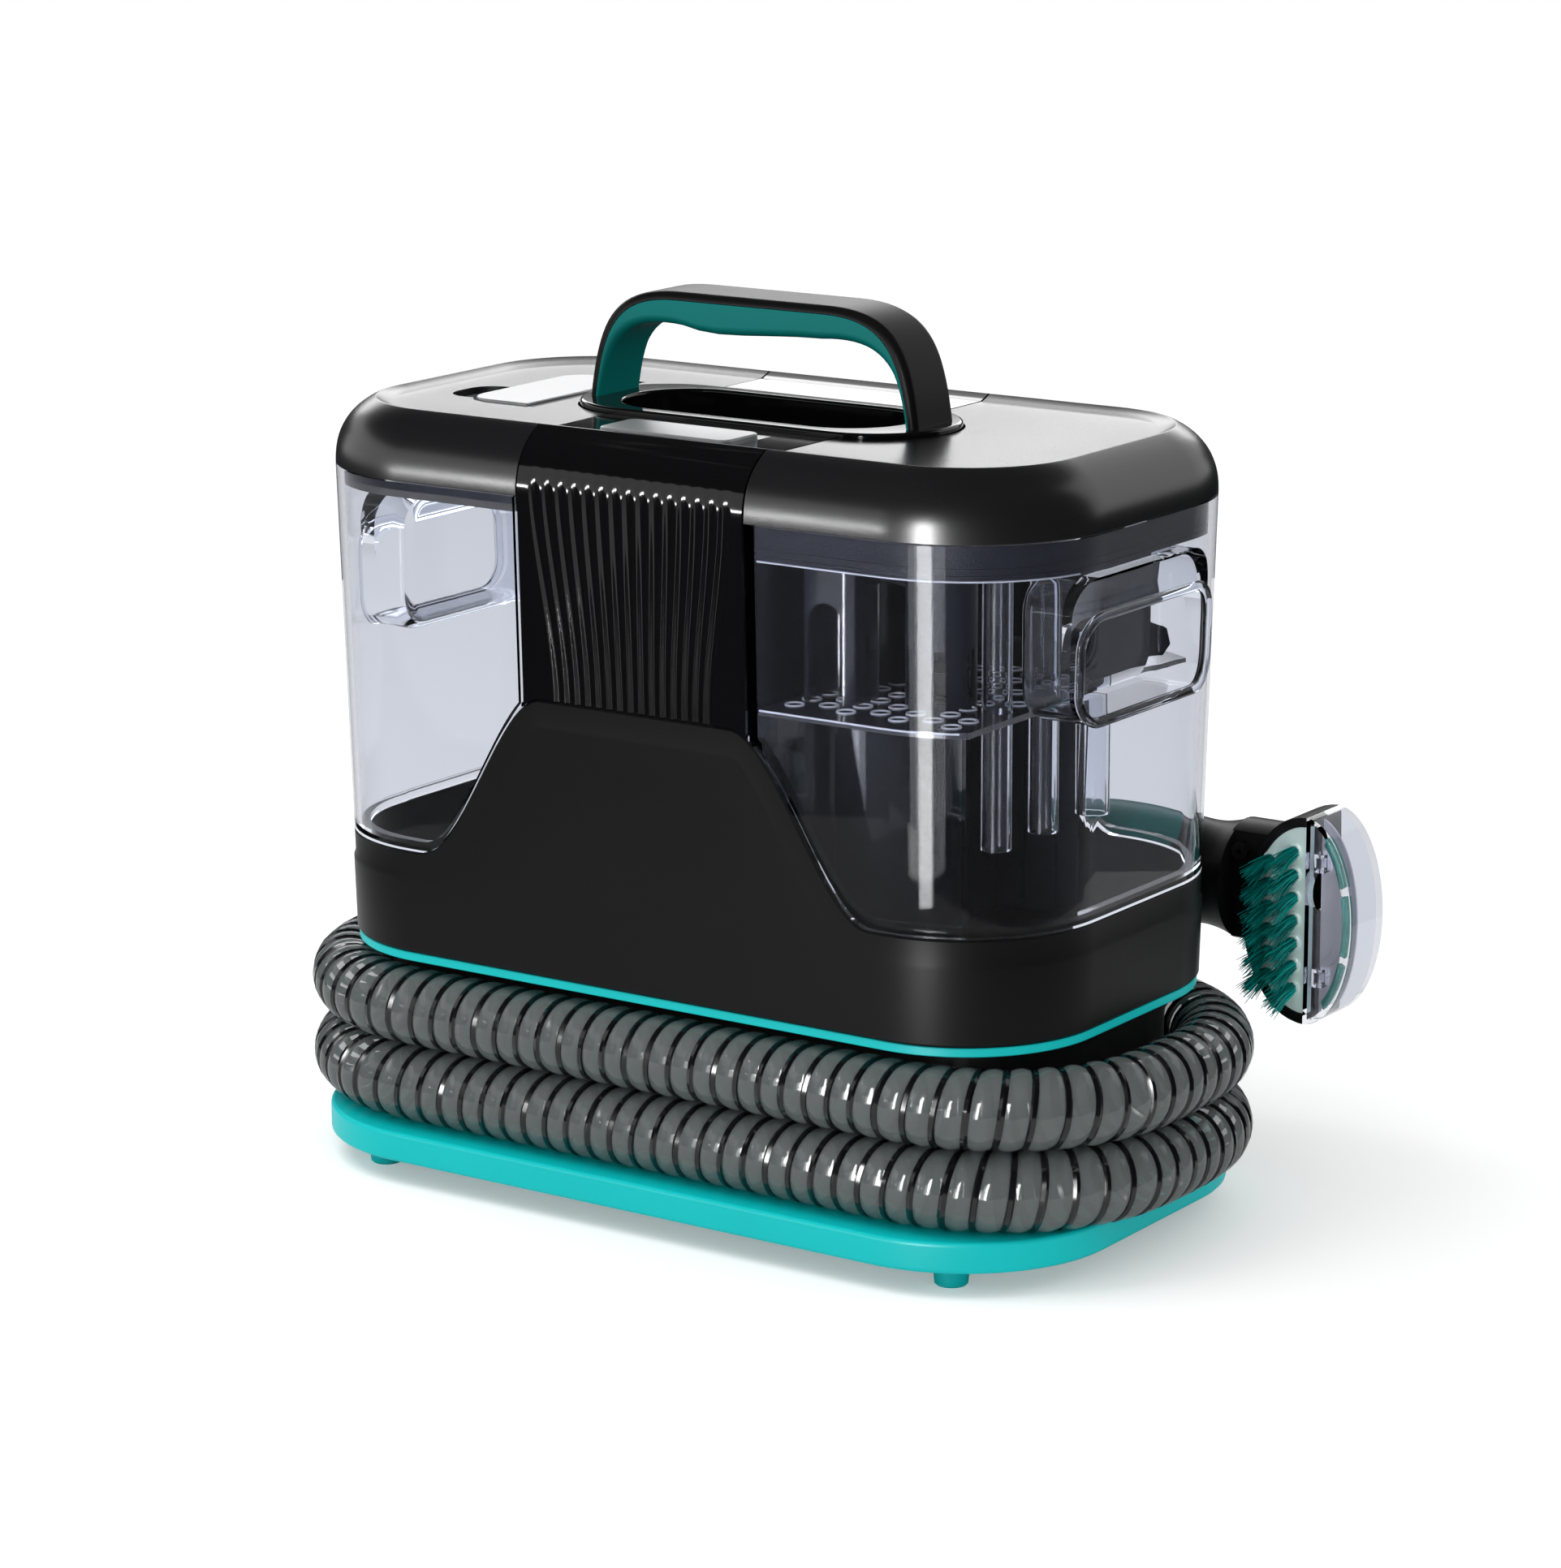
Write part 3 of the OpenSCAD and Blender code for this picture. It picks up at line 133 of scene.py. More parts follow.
def sweep(line, hx, hy, corner=16, runs=(1, 1)):
    """Draws a line of (outward, height) points round a rounded rectangle."""
    bm = bmesh.new()
    last = open_line(bm, [(hx + out, -hy, z) for out, z in line])
    sides = ((0, 1), (-1, 0), (0, -1), (1, 0))
    centres = ((hx, hy), (-hx, hy), (-hx, -hy), (hx, -hy))
    for (dx, dy), (cx, cy) in zip(sides, centres):
        run = runs[0] if dx else runs[1]
        move = (2 * hx * dx / run, 2 * hy * dy / run, 0)
        last = spin(bm, last, run, move=move)
        last = spin(bm, last, corner, centre=(cx, cy, 0), angle=90)
    weld(bm)
    return bm


def lathe(line, steps=48, axis=(0, 0, 1), centre=(0, 0, 0)):
    """Spins a line of (radius, distance) points round an axis through centre."""
    bm = bmesh.new()
    along = Vector(axis).normalized()
    side = along.orthogonal().normalized()
    base = Vector(centre)
    last = open_line(bm, [base + side * r + along * d for r, d in line])
    bmesh.ops.spin(
        bm,
        geom=last,
        cent=base,
        axis=along,
        dvec=(0, 0, 0),
        angle=math.radians(360),
        steps=steps,
        use_merge=True,
        use_duplicate=False,
    )
    weld(bm)
    outward(bm)
    return bm


def slab(outline, low, high, axis="Z"):
    """A flat outline of (u, v) points made a solid between two levels along an axis."""
    bm = bmesh.new()
    place = {"Z": lambda u, v: (u, v, low), "Y": lambda u, v: (u, low, v), "X": lambda u, v: (low, u, v)}
    face = bm.faces.new([bm.verts.new(place[axis](u, v)) for u, v in outline])
    move = {"Z": (0, 0, high - low), "Y": (0, high - low, 0), "X": (high - low, 0, 0)}
    grown = bmesh.ops.extrude_face_region(bm, geom=[face], use_keep_orig=True)
    verts = [g for g in grown["geom"] if isinstance(g, bmesh.types.BMVert)]
    bmesh.ops.translate(bm, verts=verts, vec=move[axis])
    outward(bm)
    return bm


def arc(cx, cy, r, a0, a1, steps):
    return [
        (
            cx + r * math.cos(math.radians(a0 + (a1 - a0) * i / steps)),
            cy + r * math.sin(math.radians(a0 + (a1 - a0) * i / steps)),
        )
        for i in range(steps + 1)
    ]


def round_rect(size_u, size_v, r, cu=0.0, cv=0.0, steps=8):
    hu, hv = size_u / 2 - r, size_v / 2 - r
    corners = ((hu, hv, 0), (-hu, hv, 90), (-hu, -hv, 180), (hu, -hv, 270))
    return [p for u, v, a in corners for p in arc(cu + u, cv + v, r, a, a + 90, steps)]


def stadium(length, depth, low, high, steps=24):
    mid = (length - depth) / 2
    outline = arc(mid, 0, depth / 2, -90, 90, steps) + arc(-mid, 0, depth / 2, 90, 270, steps)
    return slab(outline, low, high)


def carve(bm, tool, how="DIFFERENCE"):
    """Cuts a solid with another one, joins them or keeps what they share."""
    pair = []
    for part in (bm, tool):
        mesh = bpy.data.meshes.new("blank")
        part.to_mesh(mesh)
        blank = bpy.data.objects.new("blank", mesh)
        scene.collection.objects.link(blank)
        pair.append(blank)
    cut = pair[0].modifiers.new("cut", "BOOLEAN")
    cut.operation, cut.solver, cut.object = how, "EXACT", pair[1]
    result = pair[0].evaluated_get(bpy.context.evaluated_depsgraph_get()).to_mesh()
    bm.clear()
    bm.from_mesh(result)
    for blank in pair:
        mesh = blank.data
        bpy.data.objects.remove(blank)
        bpy.data.meshes.remove(mesh)
    tool.free()
    weld(bm)
    return bm


def soften(bm, width, segments=2, angle=35, where=None):
    """Rounds the sharp edges, or those of them that where() picks."""
    limit = math.radians(angle)
    edges = [
        e
        for e in bm.edges
        if e.is_manifold and e.calc_face_angle(0) > limit and (where is None or where(e))
    ]
    bmesh.ops.bevel(
        bm,
        geom=edges,
        offset=width,
        offset_type="OFFSET",
        segments=segments,
        profile=0.5,
        affect="EDGES",
        clamp_overlap=True,
        material=-1,
    )
    return bm


def merge(*parts):
    """Several loose meshes in one."""
    whole = bmesh.new()
    for part in parts:
        mesh = bpy.data.meshes.new("part")
        part.to_mesh(mesh)
        part.free()
        whole.from_mesh(mesh)
        bpy.data.meshes.remove(mesh)
    return whole


def loft(rings, closed_ends=True):
    """A skin over rings of points, each as long as the next."""
    bm = bmesh.new()
    loops = [[bm.verts.new(p) for p in ring] for ring in rings]
    for near, far in zip(loops, loops[1:]):
        for k in range(len(near)):
            m = (k + 1) % len(near)
            bm.faces.new((near[k], near[m], far[m], far[k]))
    if closed_ends:
        bm.faces.new(loops[0][::-1])
        bm.faces.new(loops[-1])
    outward(bm)
    return bm


def tube(points, radius, closed=False, sides=8):
    """A round bar along a line of points."""
    curve = bpy.data.curves.new("bar", "CURVE")
    curve.dimensions = "3D"
    curve.bevel_depth = radius
    curve.bevel_resolution = sides // 4
    curve.use_fill_caps = True
    line = curve.splines.new("POLY")
    line.points.add(len(points) - 1)
    for point, place in zip(line.points, points):
        point.co = (*place, 1)
    line.use_cyclic_u = closed
    blank = bpy.data.objects.new("bar", curve)
    scene.collection.objects.link(blank)
    mesh = blank.evaluated_get(bpy.context.evaluated_depsgraph_get()).to_mesh()
    bm = bmesh.new()
    bm.from_mesh(mesh)
    bpy.data.objects.remove(blank)
    bpy.data.curves.remove(curve)
    outward(bm)
    return bm


def make(name, bm, finish, body="base", nodes=(), sharp=38, weigh=True):
    """Turns millimetres into metres and a mesh into a piece that rides on its body."""
    bmesh.ops.scale(bm, vec=(MM, MM, MM), verts=bm.verts)
    mesh = bpy.data.meshes.new(name)
    bm.to_mesh(mesh)
    bm.free()
    mesh.shade_smooth()
    mesh.set_sharp_from_angle(angle=math.radians(sharp))
    piece = bpy.data.objects.new(name, mesh)
    scene.collection.objects.link(piece)
    mesh.materials.append(finishes[finish])
    if weigh:
        piece.modifiers.new("Even shading", "WEIGHTED_NORMAL").keep_sharp = True
    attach(piece, body)
    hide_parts(*nodes)
    return piece


# ---- finishes ----


def new_group(name, inputs, outputs):
    group = bpy.data.node_groups.new(name, "ShaderNodeTree")
    for label, kind, value in inputs:
        socket = group.interface.new_socket(name=label, in_out="INPUT", socket_type=kind)
        socket.default_value = value
    for label, kind in outputs:
        group.interface.new_socket(name=label, in_out="OUTPUT", socket_type=kind)
    return group, group.nodes.new("NodeGroupInput"), group.nodes.new("NodeGroupOutput")


def moulded_group():
    """Fine moulded grain, with slow shifts of tone and gloss."""
    group, given, out = new_group(
        "Moulded plastic",
        [
            ("Colour", "NodeSocketColor", (0.5, 0.5, 0.5, 1)),
            ("Roughness", "NodeSocketFloat", 0.4),
            ("Grain per metre", "NodeSocketFloat", 2500.0),
            ("Tone shift", "NodeSocketFloat", 0.1),
            ("Gloss shift", "NodeSocketFloat", 0.05),
        ],
        [("Colour", "NodeSocketColor"), ("Roughness", "NodeSocketFloat"), ("Height", "NodeSocketFloat")],
    )
    nodes, link = group.nodes, group.links.new
    place = nodes.new("ShaderNodeTexCoord")
    grain = nodes.new("ShaderNodeTexNoise")
    grain.inputs["Detail"].default_value = 3
    link(place.outputs["Object"], grain.inputs["Vector"])
    link(given.outputs["Grain per metre"], grain.inputs["Scale"])
    link(grain.outputs["Fac"], out.inputs["Height"])
    cloud = nodes.new("ShaderNodeTexNoise")
    cloud.inputs["Scale"].default_value = 14
    cloud.inputs["Detail"].default_value = 4
    link(place.outputs["Object"], cloud.inputs["Vector"])
    spread = nodes.new("ShaderNodeMath")
    spread.operation = "SUBTRACT"
    spread.inputs[1].default_value = 0.5
    link(cloud.outputs["Fac"], spread.inputs[0])
    tone = nodes.new("ShaderNodeMath")
    tone.operation = "MULTIPLY_ADD"
    tone.inputs[2].default_value = 1
    link(spread.outputs[0], tone.inputs[0])
    link(given.outputs["Tone shift"], tone.inputs[1])
    shade = nodes.new("ShaderNodeVectorMath")
    shade.operation = "SCALE"
    link(given.outputs["Colour"], shade.inputs[0])
    link(tone.outputs[0], shade.inputs["Scale"])
    link(shade.outputs[0], out.inputs["Colour"])
    gloss = nodes.new("ShaderNodeMath")
    gloss.operation = "MULTIPLY_ADD"
    gloss.use_clamp = True
    link(spread.outputs[0], gloss.inputs[0])
    link(given.outputs["Gloss shift"], gloss.inputs[1])
    link(given.outputs["Roughness"], gloss.inputs[2])
    link(gloss.outputs[0], out.inputs["Roughness"])
    return group


moulded = moulded_group()


def plastic(name, colour, rough, grain=2500.0, depth=0.0, tone=0.12, gloss=0.06, **more):
    """An opaque plastic, rubber or metal on the moulded group."""
    material = bpy.data.materials.new(name)
    material.use_nodes = True
    nodes, link = material.node_tree.nodes, material.node_tree.links.new
    shader = nodes["Principled BSDF"]
    for label, value in more.items():
        shader.inputs[label.replace("_", " ")].default_value = value
    skin = nodes.new("ShaderNodeGroup")
    skin.node_tree = moulded
    skin.inputs["Colour"].default_value = (*colour, 1)
    skin.inputs["Roughness"].default_value = rough
    skin.inputs["Grain per metre"].default_value = grain
    skin.inputs["Tone shift"].default_value = tone
    skin.inputs["Gloss shift"].default_value = gloss
    link(skin.outputs["Colour"], shader.inputs["Base Color"])
    link(skin.outputs["Roughness"], shader.inputs["Roughness"])
    if depth:
        bump = nodes.new("ShaderNodeBump")
        bump.inputs["Distance"].default_value = depth * MM
        link(skin.outputs["Height"], bump.inputs["Height"])
        link(bump.outputs["Normal"], shader.inputs["Normal"])
    return material


def clear(name, colour, rough, ior=1.3, shadow=0.25, **more):
    """See-through plastic that lets most of the light through to what lies behind it."""
    material = plastic(name, colour, rough, tone=0.02, gloss=0.02, **more)
    nodes, link = material.node_tree.nodes, material.node_tree.links.new
    shader = nodes["Principled BSDF"]
    shader.inputs["Transmission Weight"].default_value = 1
    shader.inputs["IOR"].default_value = ior
    ray = nodes.new("ShaderNodeLightPath")
    pass_on = nodes.new("ShaderNodeMath")
    pass_on.operation = "MULTIPLY_ADD"
    pass_on.inputs[1].default_value = shadow - 1
    pass_on.inputs[2].default_value = 1
    link(ray.outputs["Is Shadow Ray"], pass_on.inputs[0])
    link(pass_on.outputs[0], shader.inputs["Alpha"])
    return material


def strands(name, colour, rough, dark, pale, **more):
    """A fibre finish: every separate strand gets its own tone between dark and pale."""
    material = plastic(name, colour, rough, **more)
    nodes, link = material.node_tree.nodes, material.node_tree.links.new
    shader = nodes["Principled BSDF"]
    body = shader.inputs["Base Color"].links[0].from_socket
    strand = nodes.new("ShaderNodeNewGeometry")
    spread = nodes.new("ShaderNodeMapRange")
    spread.inputs["To Min"].default_value = dark
    spread.inputs["To Max"].default_value = pale
    tone = nodes.new("ShaderNodeVectorMath")
    tone.operation = "SCALE"
    link(strand.outputs["Random Per Island"], spread.inputs["Value"])
    link(body, tone.inputs[0])
    link(spread.outputs["Result"], tone.inputs["Scale"])
    link(tone.outputs["Vector"], shader.inputs["Base Color"])
    return material


finishes = {
    "teal_plastic": plastic("teal plastic", (0.0, 0.63, 0.64), 0.36, depth=0.012, Specular_IOR_Level=0.2),
    "teal_rubber": plastic(
        "teal rubber", (0.0, 0.22, 0.205), 0.5, grain=4000, depth=0.02, Specular_IOR_Level=0.08
    ),
    "satin_black": plastic(
        "satin black", (0.0055, 0.0055, 0.006), 0.36, grain=3500, depth=0.012, Specular_IOR_Level=0.11
    ),
    "gloss_black": plastic(
        "gloss black", (0.004, 0.004, 0.0045), 0.08, gloss=0.02, Specular_IOR_Level=0.4
    ),
    "silver_plastic": plastic("silver plastic", (0.4, 0.4, 0.41), 0.34, Metallic=0.6),
    "steel": plastic("steel", (0.6, 0.6, 0.6), 0.28, Metallic=1.0),
    "board": plastic("board", (0.02, 0.16, 0.05), 0.45),
    "black_rubber": plastic("black rubber", (0.012, 0.012, 0.013), 0.6, grain=3000, depth=0.03),
    "motor_casting": plastic(
        "motor casting", (0.4, 0.4, 0.41), 0.5, grain=1200, depth=0.06, Metallic=0.7
    ),
    "fan_metal": plastic("fan metal", (0.7, 0.7, 0.72), 0.25, Metallic=1.0),
    "grey_plastic": plastic("grey plastic", (0.02, 0.02, 0.024), 0.3, depth=0.01),
    "smoke_plastic": plastic("smoke plastic", (0.03, 0.03, 0.036), 0.12),
    "foam": plastic("foam", (0.05, 0.05, 0.05), 0.9, grain=900, depth=0.5),
    "pale_plastic": plastic("pale plastic", (0.7, 0.7, 0.66), 0.4),
    "hose_plastic": plastic(
        "clear hose skin", (0.235, 0.265, 0.26), 0.07, Alpha=0.52, Specular_IOR_Level=0.65
    ),
    "hose_rib": plastic("black hose rib", (0.005, 0.005, 0.006), 0.16),
    "mint_plastic": plastic("mint plastic", (0.8, 1.0, 0.96), 0.25, depth=0.01),
    "nylon": strands(
        "nylon", (0.0, 0.3, 0.27), 0.35, 0.25, 1.5, grain=900, tone=0.4, Specular_IOR_Level=0.25
    ),
    "teal_glaze": plastic("teal glaze", (0.05, 0.25, 0.23), 0.1, Alpha=0.75),
    "smoke_glaze": plastic("smoke glaze", (0.6, 0.6, 0.7), 0.15, Alpha=0.85),
    "clear_plastic": clear("clear plastic", (0.85, 0.87, 0.92), 0.02, ior=1.22),
    "graphite_plastic": plastic(
        "graphite plastic", (0.009, 0.009, 0.01), 0.27, grain=6000, depth=0.006, Specular_IOR_Level=0.75
    ),
    "skirt_plastic": plastic(
        "skirt plastic", (0.006, 0.007, 0.012), 0.4, grain=1300, depth=0.12, Specular_IOR_Level=0.1
    ),
    # painted shade: the clear tank's floor made a near-opaque black, for the shade that lies in the bottom
    # of the tank
    "shaded_tank_floor": plastic(
        "shaded tank floor", (0.003, 0.004, 0.005), 0.06, Alpha=0.93, Specular_IOR_Level=0.12
    ),
    # painted highlight: a pale grey for thin lips and beads, standing in for the bright highlight lines
    # along rims and edges
    "highlight_grey": plastic("highlight grey", (0.3, 0.31, 0.36), 0.2),
    # painted shade: a copy of the satin black with its reflections nearly turned off, for inside faces and
    # parts that stand in shade
    "shaded_inner_black": plastic("shaded inner black", (0.006, 0.007, 0.011), 0.5, Specular_IOR_Level=0.04),
    "deep_teal": plastic("deep teal", (0.0, 0.12, 0.112), 0.4, depth=0.012, Specular_IOR_Level=0.1),
    "sieve_glaze": plastic("sieve glaze", (0.012, 0.013, 0.02), 0.12, Alpha=0.9, Specular_IOR_Level=0.8),
}
# the column shell inside the tank takes the shaded inner finish, painted shade
own_finish = {"column_shell": "shaded_inner_black", "float_cage": "skirt_plastic", "air_duct": "skirt_plastic"}
for part in frame["record"]["subparts"]:
    mesh = frame["nodes"][part["node"]].data
    mesh.materials.clear()
    mesh.materials.append(finishes[own_finish.get(part["node"], part["material_slot"])])

# ---- the hose, on the same line as its solid ----

TURN_R, TURN_X, TURN_Y = 70.0, 192.0, 86.0
TURN_Z, TURN_PITCH = 39.2, 33.0
HOSE_R, VALLEY_R, RIB_R, RIBS = 16.2, 14.3, 1.75, 186
TAIL = [
    (-192, -16, 72.2), (-192, 6, 72.2), (-188, 44, 72.5), (-172, 77, 73),
    (-146, 101, 74), (-113, 115, 77), (-84, 124, 90), (-62, 129, 106),
    (-42, 130, 117), (-20, 130, 120), (14, 130, 120),
]


def quarter(cx, cy, a0, z):
    steps = [math.radians(a0 - 15 * i) for i in range(1, 7)]
    return [(cx + TURN_R * math.cos(a), cy + TURN_R * math.sin(a), z) for a in steps]


def three_corners(x, y, z):
    return (
        [(x, y + TURN_R, z)]
        + quarter(x, y, 90, z)
        + [(x + TURN_R, -y, z)]
        + quarter(x, -y, 0, z)
        + [(-x, -y - TURN_R, z)]
        + quarter(-x, -y, -90, z)
    )


def hose_route():
    x, y, second = TURN_X - TURN_R, TURN_Y - TURN_R, TURN_Z + TURN_PITCH
    climb = [(-115 + 90 * i / 8, TURN_Y, TURN_Z + TURN_PITCH * ease(i / 8)) for i in range(9)]
    swing = []
    for i in range(len(TAIL) - 2):
        a, b, c = (Vector(TAIL[max(i - 1, 0)]), Vector(TAIL[i]), Vector(TAIL[i + 1]))
        d = Vector(TAIL[min(i + 2, len(TAIL) - 1)])
        for t in (0.25, 0.5, 0.75, 1):
            bend = 2 * a - 5 * b + 4 * c - d
            swing.append(0.5 * (2 * b + (c - a) * t + bend * t * t + (3 * b - a - 3 * c + d) * t**3))
    points = [(10, TURN_Y, TURN_Z)] + three_corners(x, y, TURN_Z) + [(-TURN_X, y, TURN_Z)]
    points += quarter(-x, y, 180, TURN_Z) + climb + three_corners(x, y, second) + swing + [TAIL[-1]]
    return [Vector(p) for p in points]


class Route:
    """Places along the hose by distance from its port."""

    def __init__(self, points):
        self.points = points
        self.reach = [0.0]
        for a, b in zip(points, points[1:]):
            self.reach.append(self.reach[-1] + (b - a).length)
        self.length = self.reach[-1]

    def at(self, s):
        s = min(max(s, 0), self.length)
        i = next(k for k in range(1, len(self.reach)) if self.reach[k] >= s - 1e-9)
        span = self.reach[i] - self.reach[i - 1]
        return self.points[i - 1].lerp(self.points[i], (s - self.reach[i - 1]) / span)

    def smooth(self, s, reach=5.0):
        return sum((self.at(s + reach * k) for k in (-1, -0.5, 0, 0.5, 1)), Vector()) / 5

    def frame(self, s):
        go = (self.smooth(s + 2) - self.smooth(s - 2)).normalized()
        side = go.cross(Vector((0, 0, 1))).normalized()
        return self.at(s) if s < 6 or s > self.length - 6 else self.smooth(s), side, side.cross(go)


route = Route(hose_route())


def hose_skin(sides=32, rows=7):
    """The clear skin, bulged between the turns of its coil."""
    step = route.length / RIBS
    rings = []
    for i in range(RIBS * rows + 1):
        place, side, up = route.frame(i * step / rows)
        ring = []
        for k in range(sides):
            a = 2 * math.pi * k / sides
            bulge = math.sin(math.pi * ((i / rows - k / sides) % 1)) ** 0.75
            r = VALLEY_R + (HOSE_R - VALLEY_R) * bulge
            ring.append(place + r * (math.cos(a) * side + math.sin(a) * up))
        rings.append(ring)
    return loft(rings, closed_ends=False)


def hose_spiral(sides=26):
    """The black coil that carries the skin, one turn to each bulge."""
    step = route.length / RIBS
    line = []
    for i in range(8, RIBS * sides - 8):
        place, side, up = route.frame(i * step / sides)
        a = 2 * math.pi * i / sides
        line.append(place + (HOSE_R - RIB_R) * (math.cos(a) * side + math.sin(a) * up))
    return tube(line, RIB_R, sides=5)


hose = make("hose_skin", hose_skin(), "hose_plastic", nodes=["hose"], weigh=False)
spiral = make("hose_spiral", hose_spiral(), "hose_rib", weigh=False)

# ---- body ----


def block(x0, x1, y0, y1, z0, z1):
    return slab([(x0, y0), (x1, y0), (x1, y1), (x0, y1)], z0, z1)


def right_of(bm, x0, notch):
    """Keeps the right end of a solid, clear of the middle and of the handle tray."""
    carve(bm, block(x0, FAR, -FAR, FAR, -FAR, FAR), "INTERSECT")
    return carve(bm, stadium(TRAY_L + 2 * notch, TRAY_W + 2 * notch, -FAR, FAR, 32))


def swept_solid(line, corner=20):
    return cap(sweep(line, CORE_X, CORE_Y, corner))


def body_solid(inset, low, high):
    return swept_solid([(body_r(low) - inset, low), (body_r(high) - inset, high)])


def shoulder(inset, steps=14):
    """The lids' rounded shoulder, which meets the top in a crisp ridge."""
    last = math.radians(62)
    line = []
    for i in range(steps + 1):
        a = last * i / steps
        inward = (1 - math.cos(a)) / (1 - math.cos(last))
        rise = (math.sin(a) / math.sin(last)) ** 0.85
        line.append((LID_R - inset - SHOULDER_IN * inward, Z_LID + (SHOULDER_H - inset) * rise))
    return line


def lid_line(inset):
    """The lids' edge from its foot over the shoulder to the flat top."""
    foot = [] if inset == 0 else [(LID_R - inset, Z_LID - 1)]
    return foot + shoulder(inset) + [(LID_R - inset - SHOULDER_IN - RIM_BAND, Z_TOP - inset)]


def above_rim(gap):
    edge = [(x, rim_z(x) + gap) for x in range(-111, 112, 3)]
    low = RIM_LOW + gap
    return slab([(-FAR, low)] + edge + [(FAR, low), (FAR, FAR), (-FAR, FAR)], -FAR, FAR, "Y")


def crease(edge):
    return all(v.co.z > Z_CREASE - 0.05 for v in edge.verts)


def other_way(bm):
    """Turns a right-hand piece into its left-hand twin."""
    bmesh.ops.scale(bm, vec=(-1, 1, 1), verts=bm.verts)
    bmesh.ops.reverse_faces(bm, faces=bm.faces)
    return bm


def lid_shell():
    lid = right_of(swept_solid(lid_line(0)), 54.9, 0.4)
    carve(lid, right_of(swept_solid(lid_line(WALL)), 57.9, 3.4))
    soften(lid, 0.6, 2, angle=12, where=crease)
    return soften(lid, 0.45, 2, angle=50)


def skirt(depth, step=0.0):
    """The collar under a lid that slips into its tank."""
    edge = 55.3 + 3.3 + step
    notch = 0.8 + 3.3 + step
    collar = right_of(body_solid(WALL + 0.3 + step, Z_LID - depth, Z_LID + 2), edge, notch)
    inner = right_of(body_solid(WALL + 2.3 + step, Z_LID - depth - 1, Z_LID + 3), 60.6 + step, 6.1 + step)
    return carve(collar, inner)


def flap_plan(grow, x0, x1):
    half = 38 + grow
    corner = arc(x0 + 12, half - 12, 12, 90, 180, 8)
    mirrored = [(x, -y) for x, y in reversed(corner)]
    return [(x1, half)] + corner + mirrored + [(x1, -half)]


def clean_lid():
    lid = other_way(lid_shell())
    cup = slab(flap_plan(3.5, -129.5, -89.5), 311.3, Z_TOP - 1)
    carve(lid, cup, "UNION")
    carve(lid, slab(flap_plan(1, -127, -90), 313.8, FAR))
    notch = round_rect(24, 30, 11.5, -130, -18)
    carve(lid, slab(notch, 313.8, FAR))
    carve(lid, lathe([(0, 300), (14, 300), (14, 330), (0, 330)], 40, centre=(-110, 0, 0)))
    return soften(lid, 0.5, 2, angle=60, where=lambda e: all(v.co.z > 319 for v in e.verts))


def dirty_lid_plate():
    """The skirt of the dirty tank's lid, with the beads and the plate that close it below."""
    plate = right_of(body_solid(WALL + 1.3, Z_LID - 2, Z_LID), 55.3 + 4.3, 0.8 + 4.3)
    beads = []
    for low in (Z_LID - 13.4, Z_LID - 10.6):
        bead = right_of(body_solid(WALL + 0.05, low, low + 1.2), 58.4, 3.9)
        beads.append(carve(bead, right_of(body_solid(WALL + 1.5, low - 1, low + 2), 59.8, 5.3)))
    return merge(skirt(14), plate, *beads)


def intake():
    """The smoked duct that guides the intake air down, with an arched mouth."""
    x, y, low, high = 75.95, -60.0, 222.4, 293.1
    duct = slab(round_rect(24, 24, 5, x, y, 6), low, high)
    carve(duct, slab(round_rect(20, 20, 3.5, x, y, 6), low - 1, high - 2))
    arch = [(x - 8, low - 1), (x + 8, low - 1)] + arc(x, low + 32, 8, 0, 180, 12)
    carve(duct, slab(arch, -80, -60, "Y"))
    return soften(duct, 0.5, 2, angle=60)


TUBE_X, TUBE_YS, TUBE_R = 137.66, (-45, -10, 27), 6.0
SIEVE_R = 3.2


def sieve_holes():
    places = []
    for i in range(7):
        for j in range(9):
            x, y = 66 + 12 * i, -78 + 12 * (j + (i % 2) / 2)
            if all(math.hypot(x - TUBE_X, y - t) > TUBE_R + SIEVE_R + 1.5 for t in TUBE_YS):
                places.append((x, y))
    return places


def sieve():
    """The dark sieve plate, with softened holes."""
    plate = right_of(body_solid(WALL + 0.3, 219.55, 222.05), 58.7, 4.1)
    carve(plate, block(50, 148.7, -FAR, FAR, 0, FAR), "INTERSECT")
    holes = [(x, y, SIEVE_R) for x, y in sieve_holes()] + [(TUBE_X, y, TUBE_R + 0.3) for y in TUBE_YS]
    pins = [lathe([(0, 215), (r, 215), (r, 226), (0, 226)], 24, centre=(x, y, 0)) for x, y, r in holes]
    carve(plate, merge(*pins))
    return soften(plate, 0.45, 2, angle=60)


def front_edge(inset, z, x0, x1):
    """Points along the front of a piece that follows the body's outline."""
    r = body_r(z) - inset
    line = [(x0, -CORE_Y - r, z), (CORE_X, -CORE_Y - r, z)]
    for a in range(6, 91, 6):
        x, y = CORE_X + r * math.sin(math.radians(a)), -CORE_Y - r * math.cos(math.radians(a))
        if x < x1:
            line.append((x, y, z))
    return line


def sieve_rims():
    """The raised lips of the sieve's holes and of its front edge, drawn in pale grey as painted highlights
    on the rims.
    """
    low, high = 222, 222.6
    inner = SIEVE_R - 0.1
    line = [(inner, low), (SIEVE_R + 0.9, low), (SIEVE_R + 0.7, high), (SIEVE_R + 0.1, high), (inner, low)]
    lips = [lathe(line, 20, centre=(x, y, 0)) for x, y in sieve_holes()]
    return merge(tube(front_edge(WALL + 0.6, 221.4, 59, 148.7), 0.5), *lips)


def skirt_line():
    """A thin bead along the foot of the lid's skirt, in pale grey as a painted highlight line."""
    return tube(front_edge(WALL + 0.8, Z_LID - 14.6, 59, 175), 0.4)


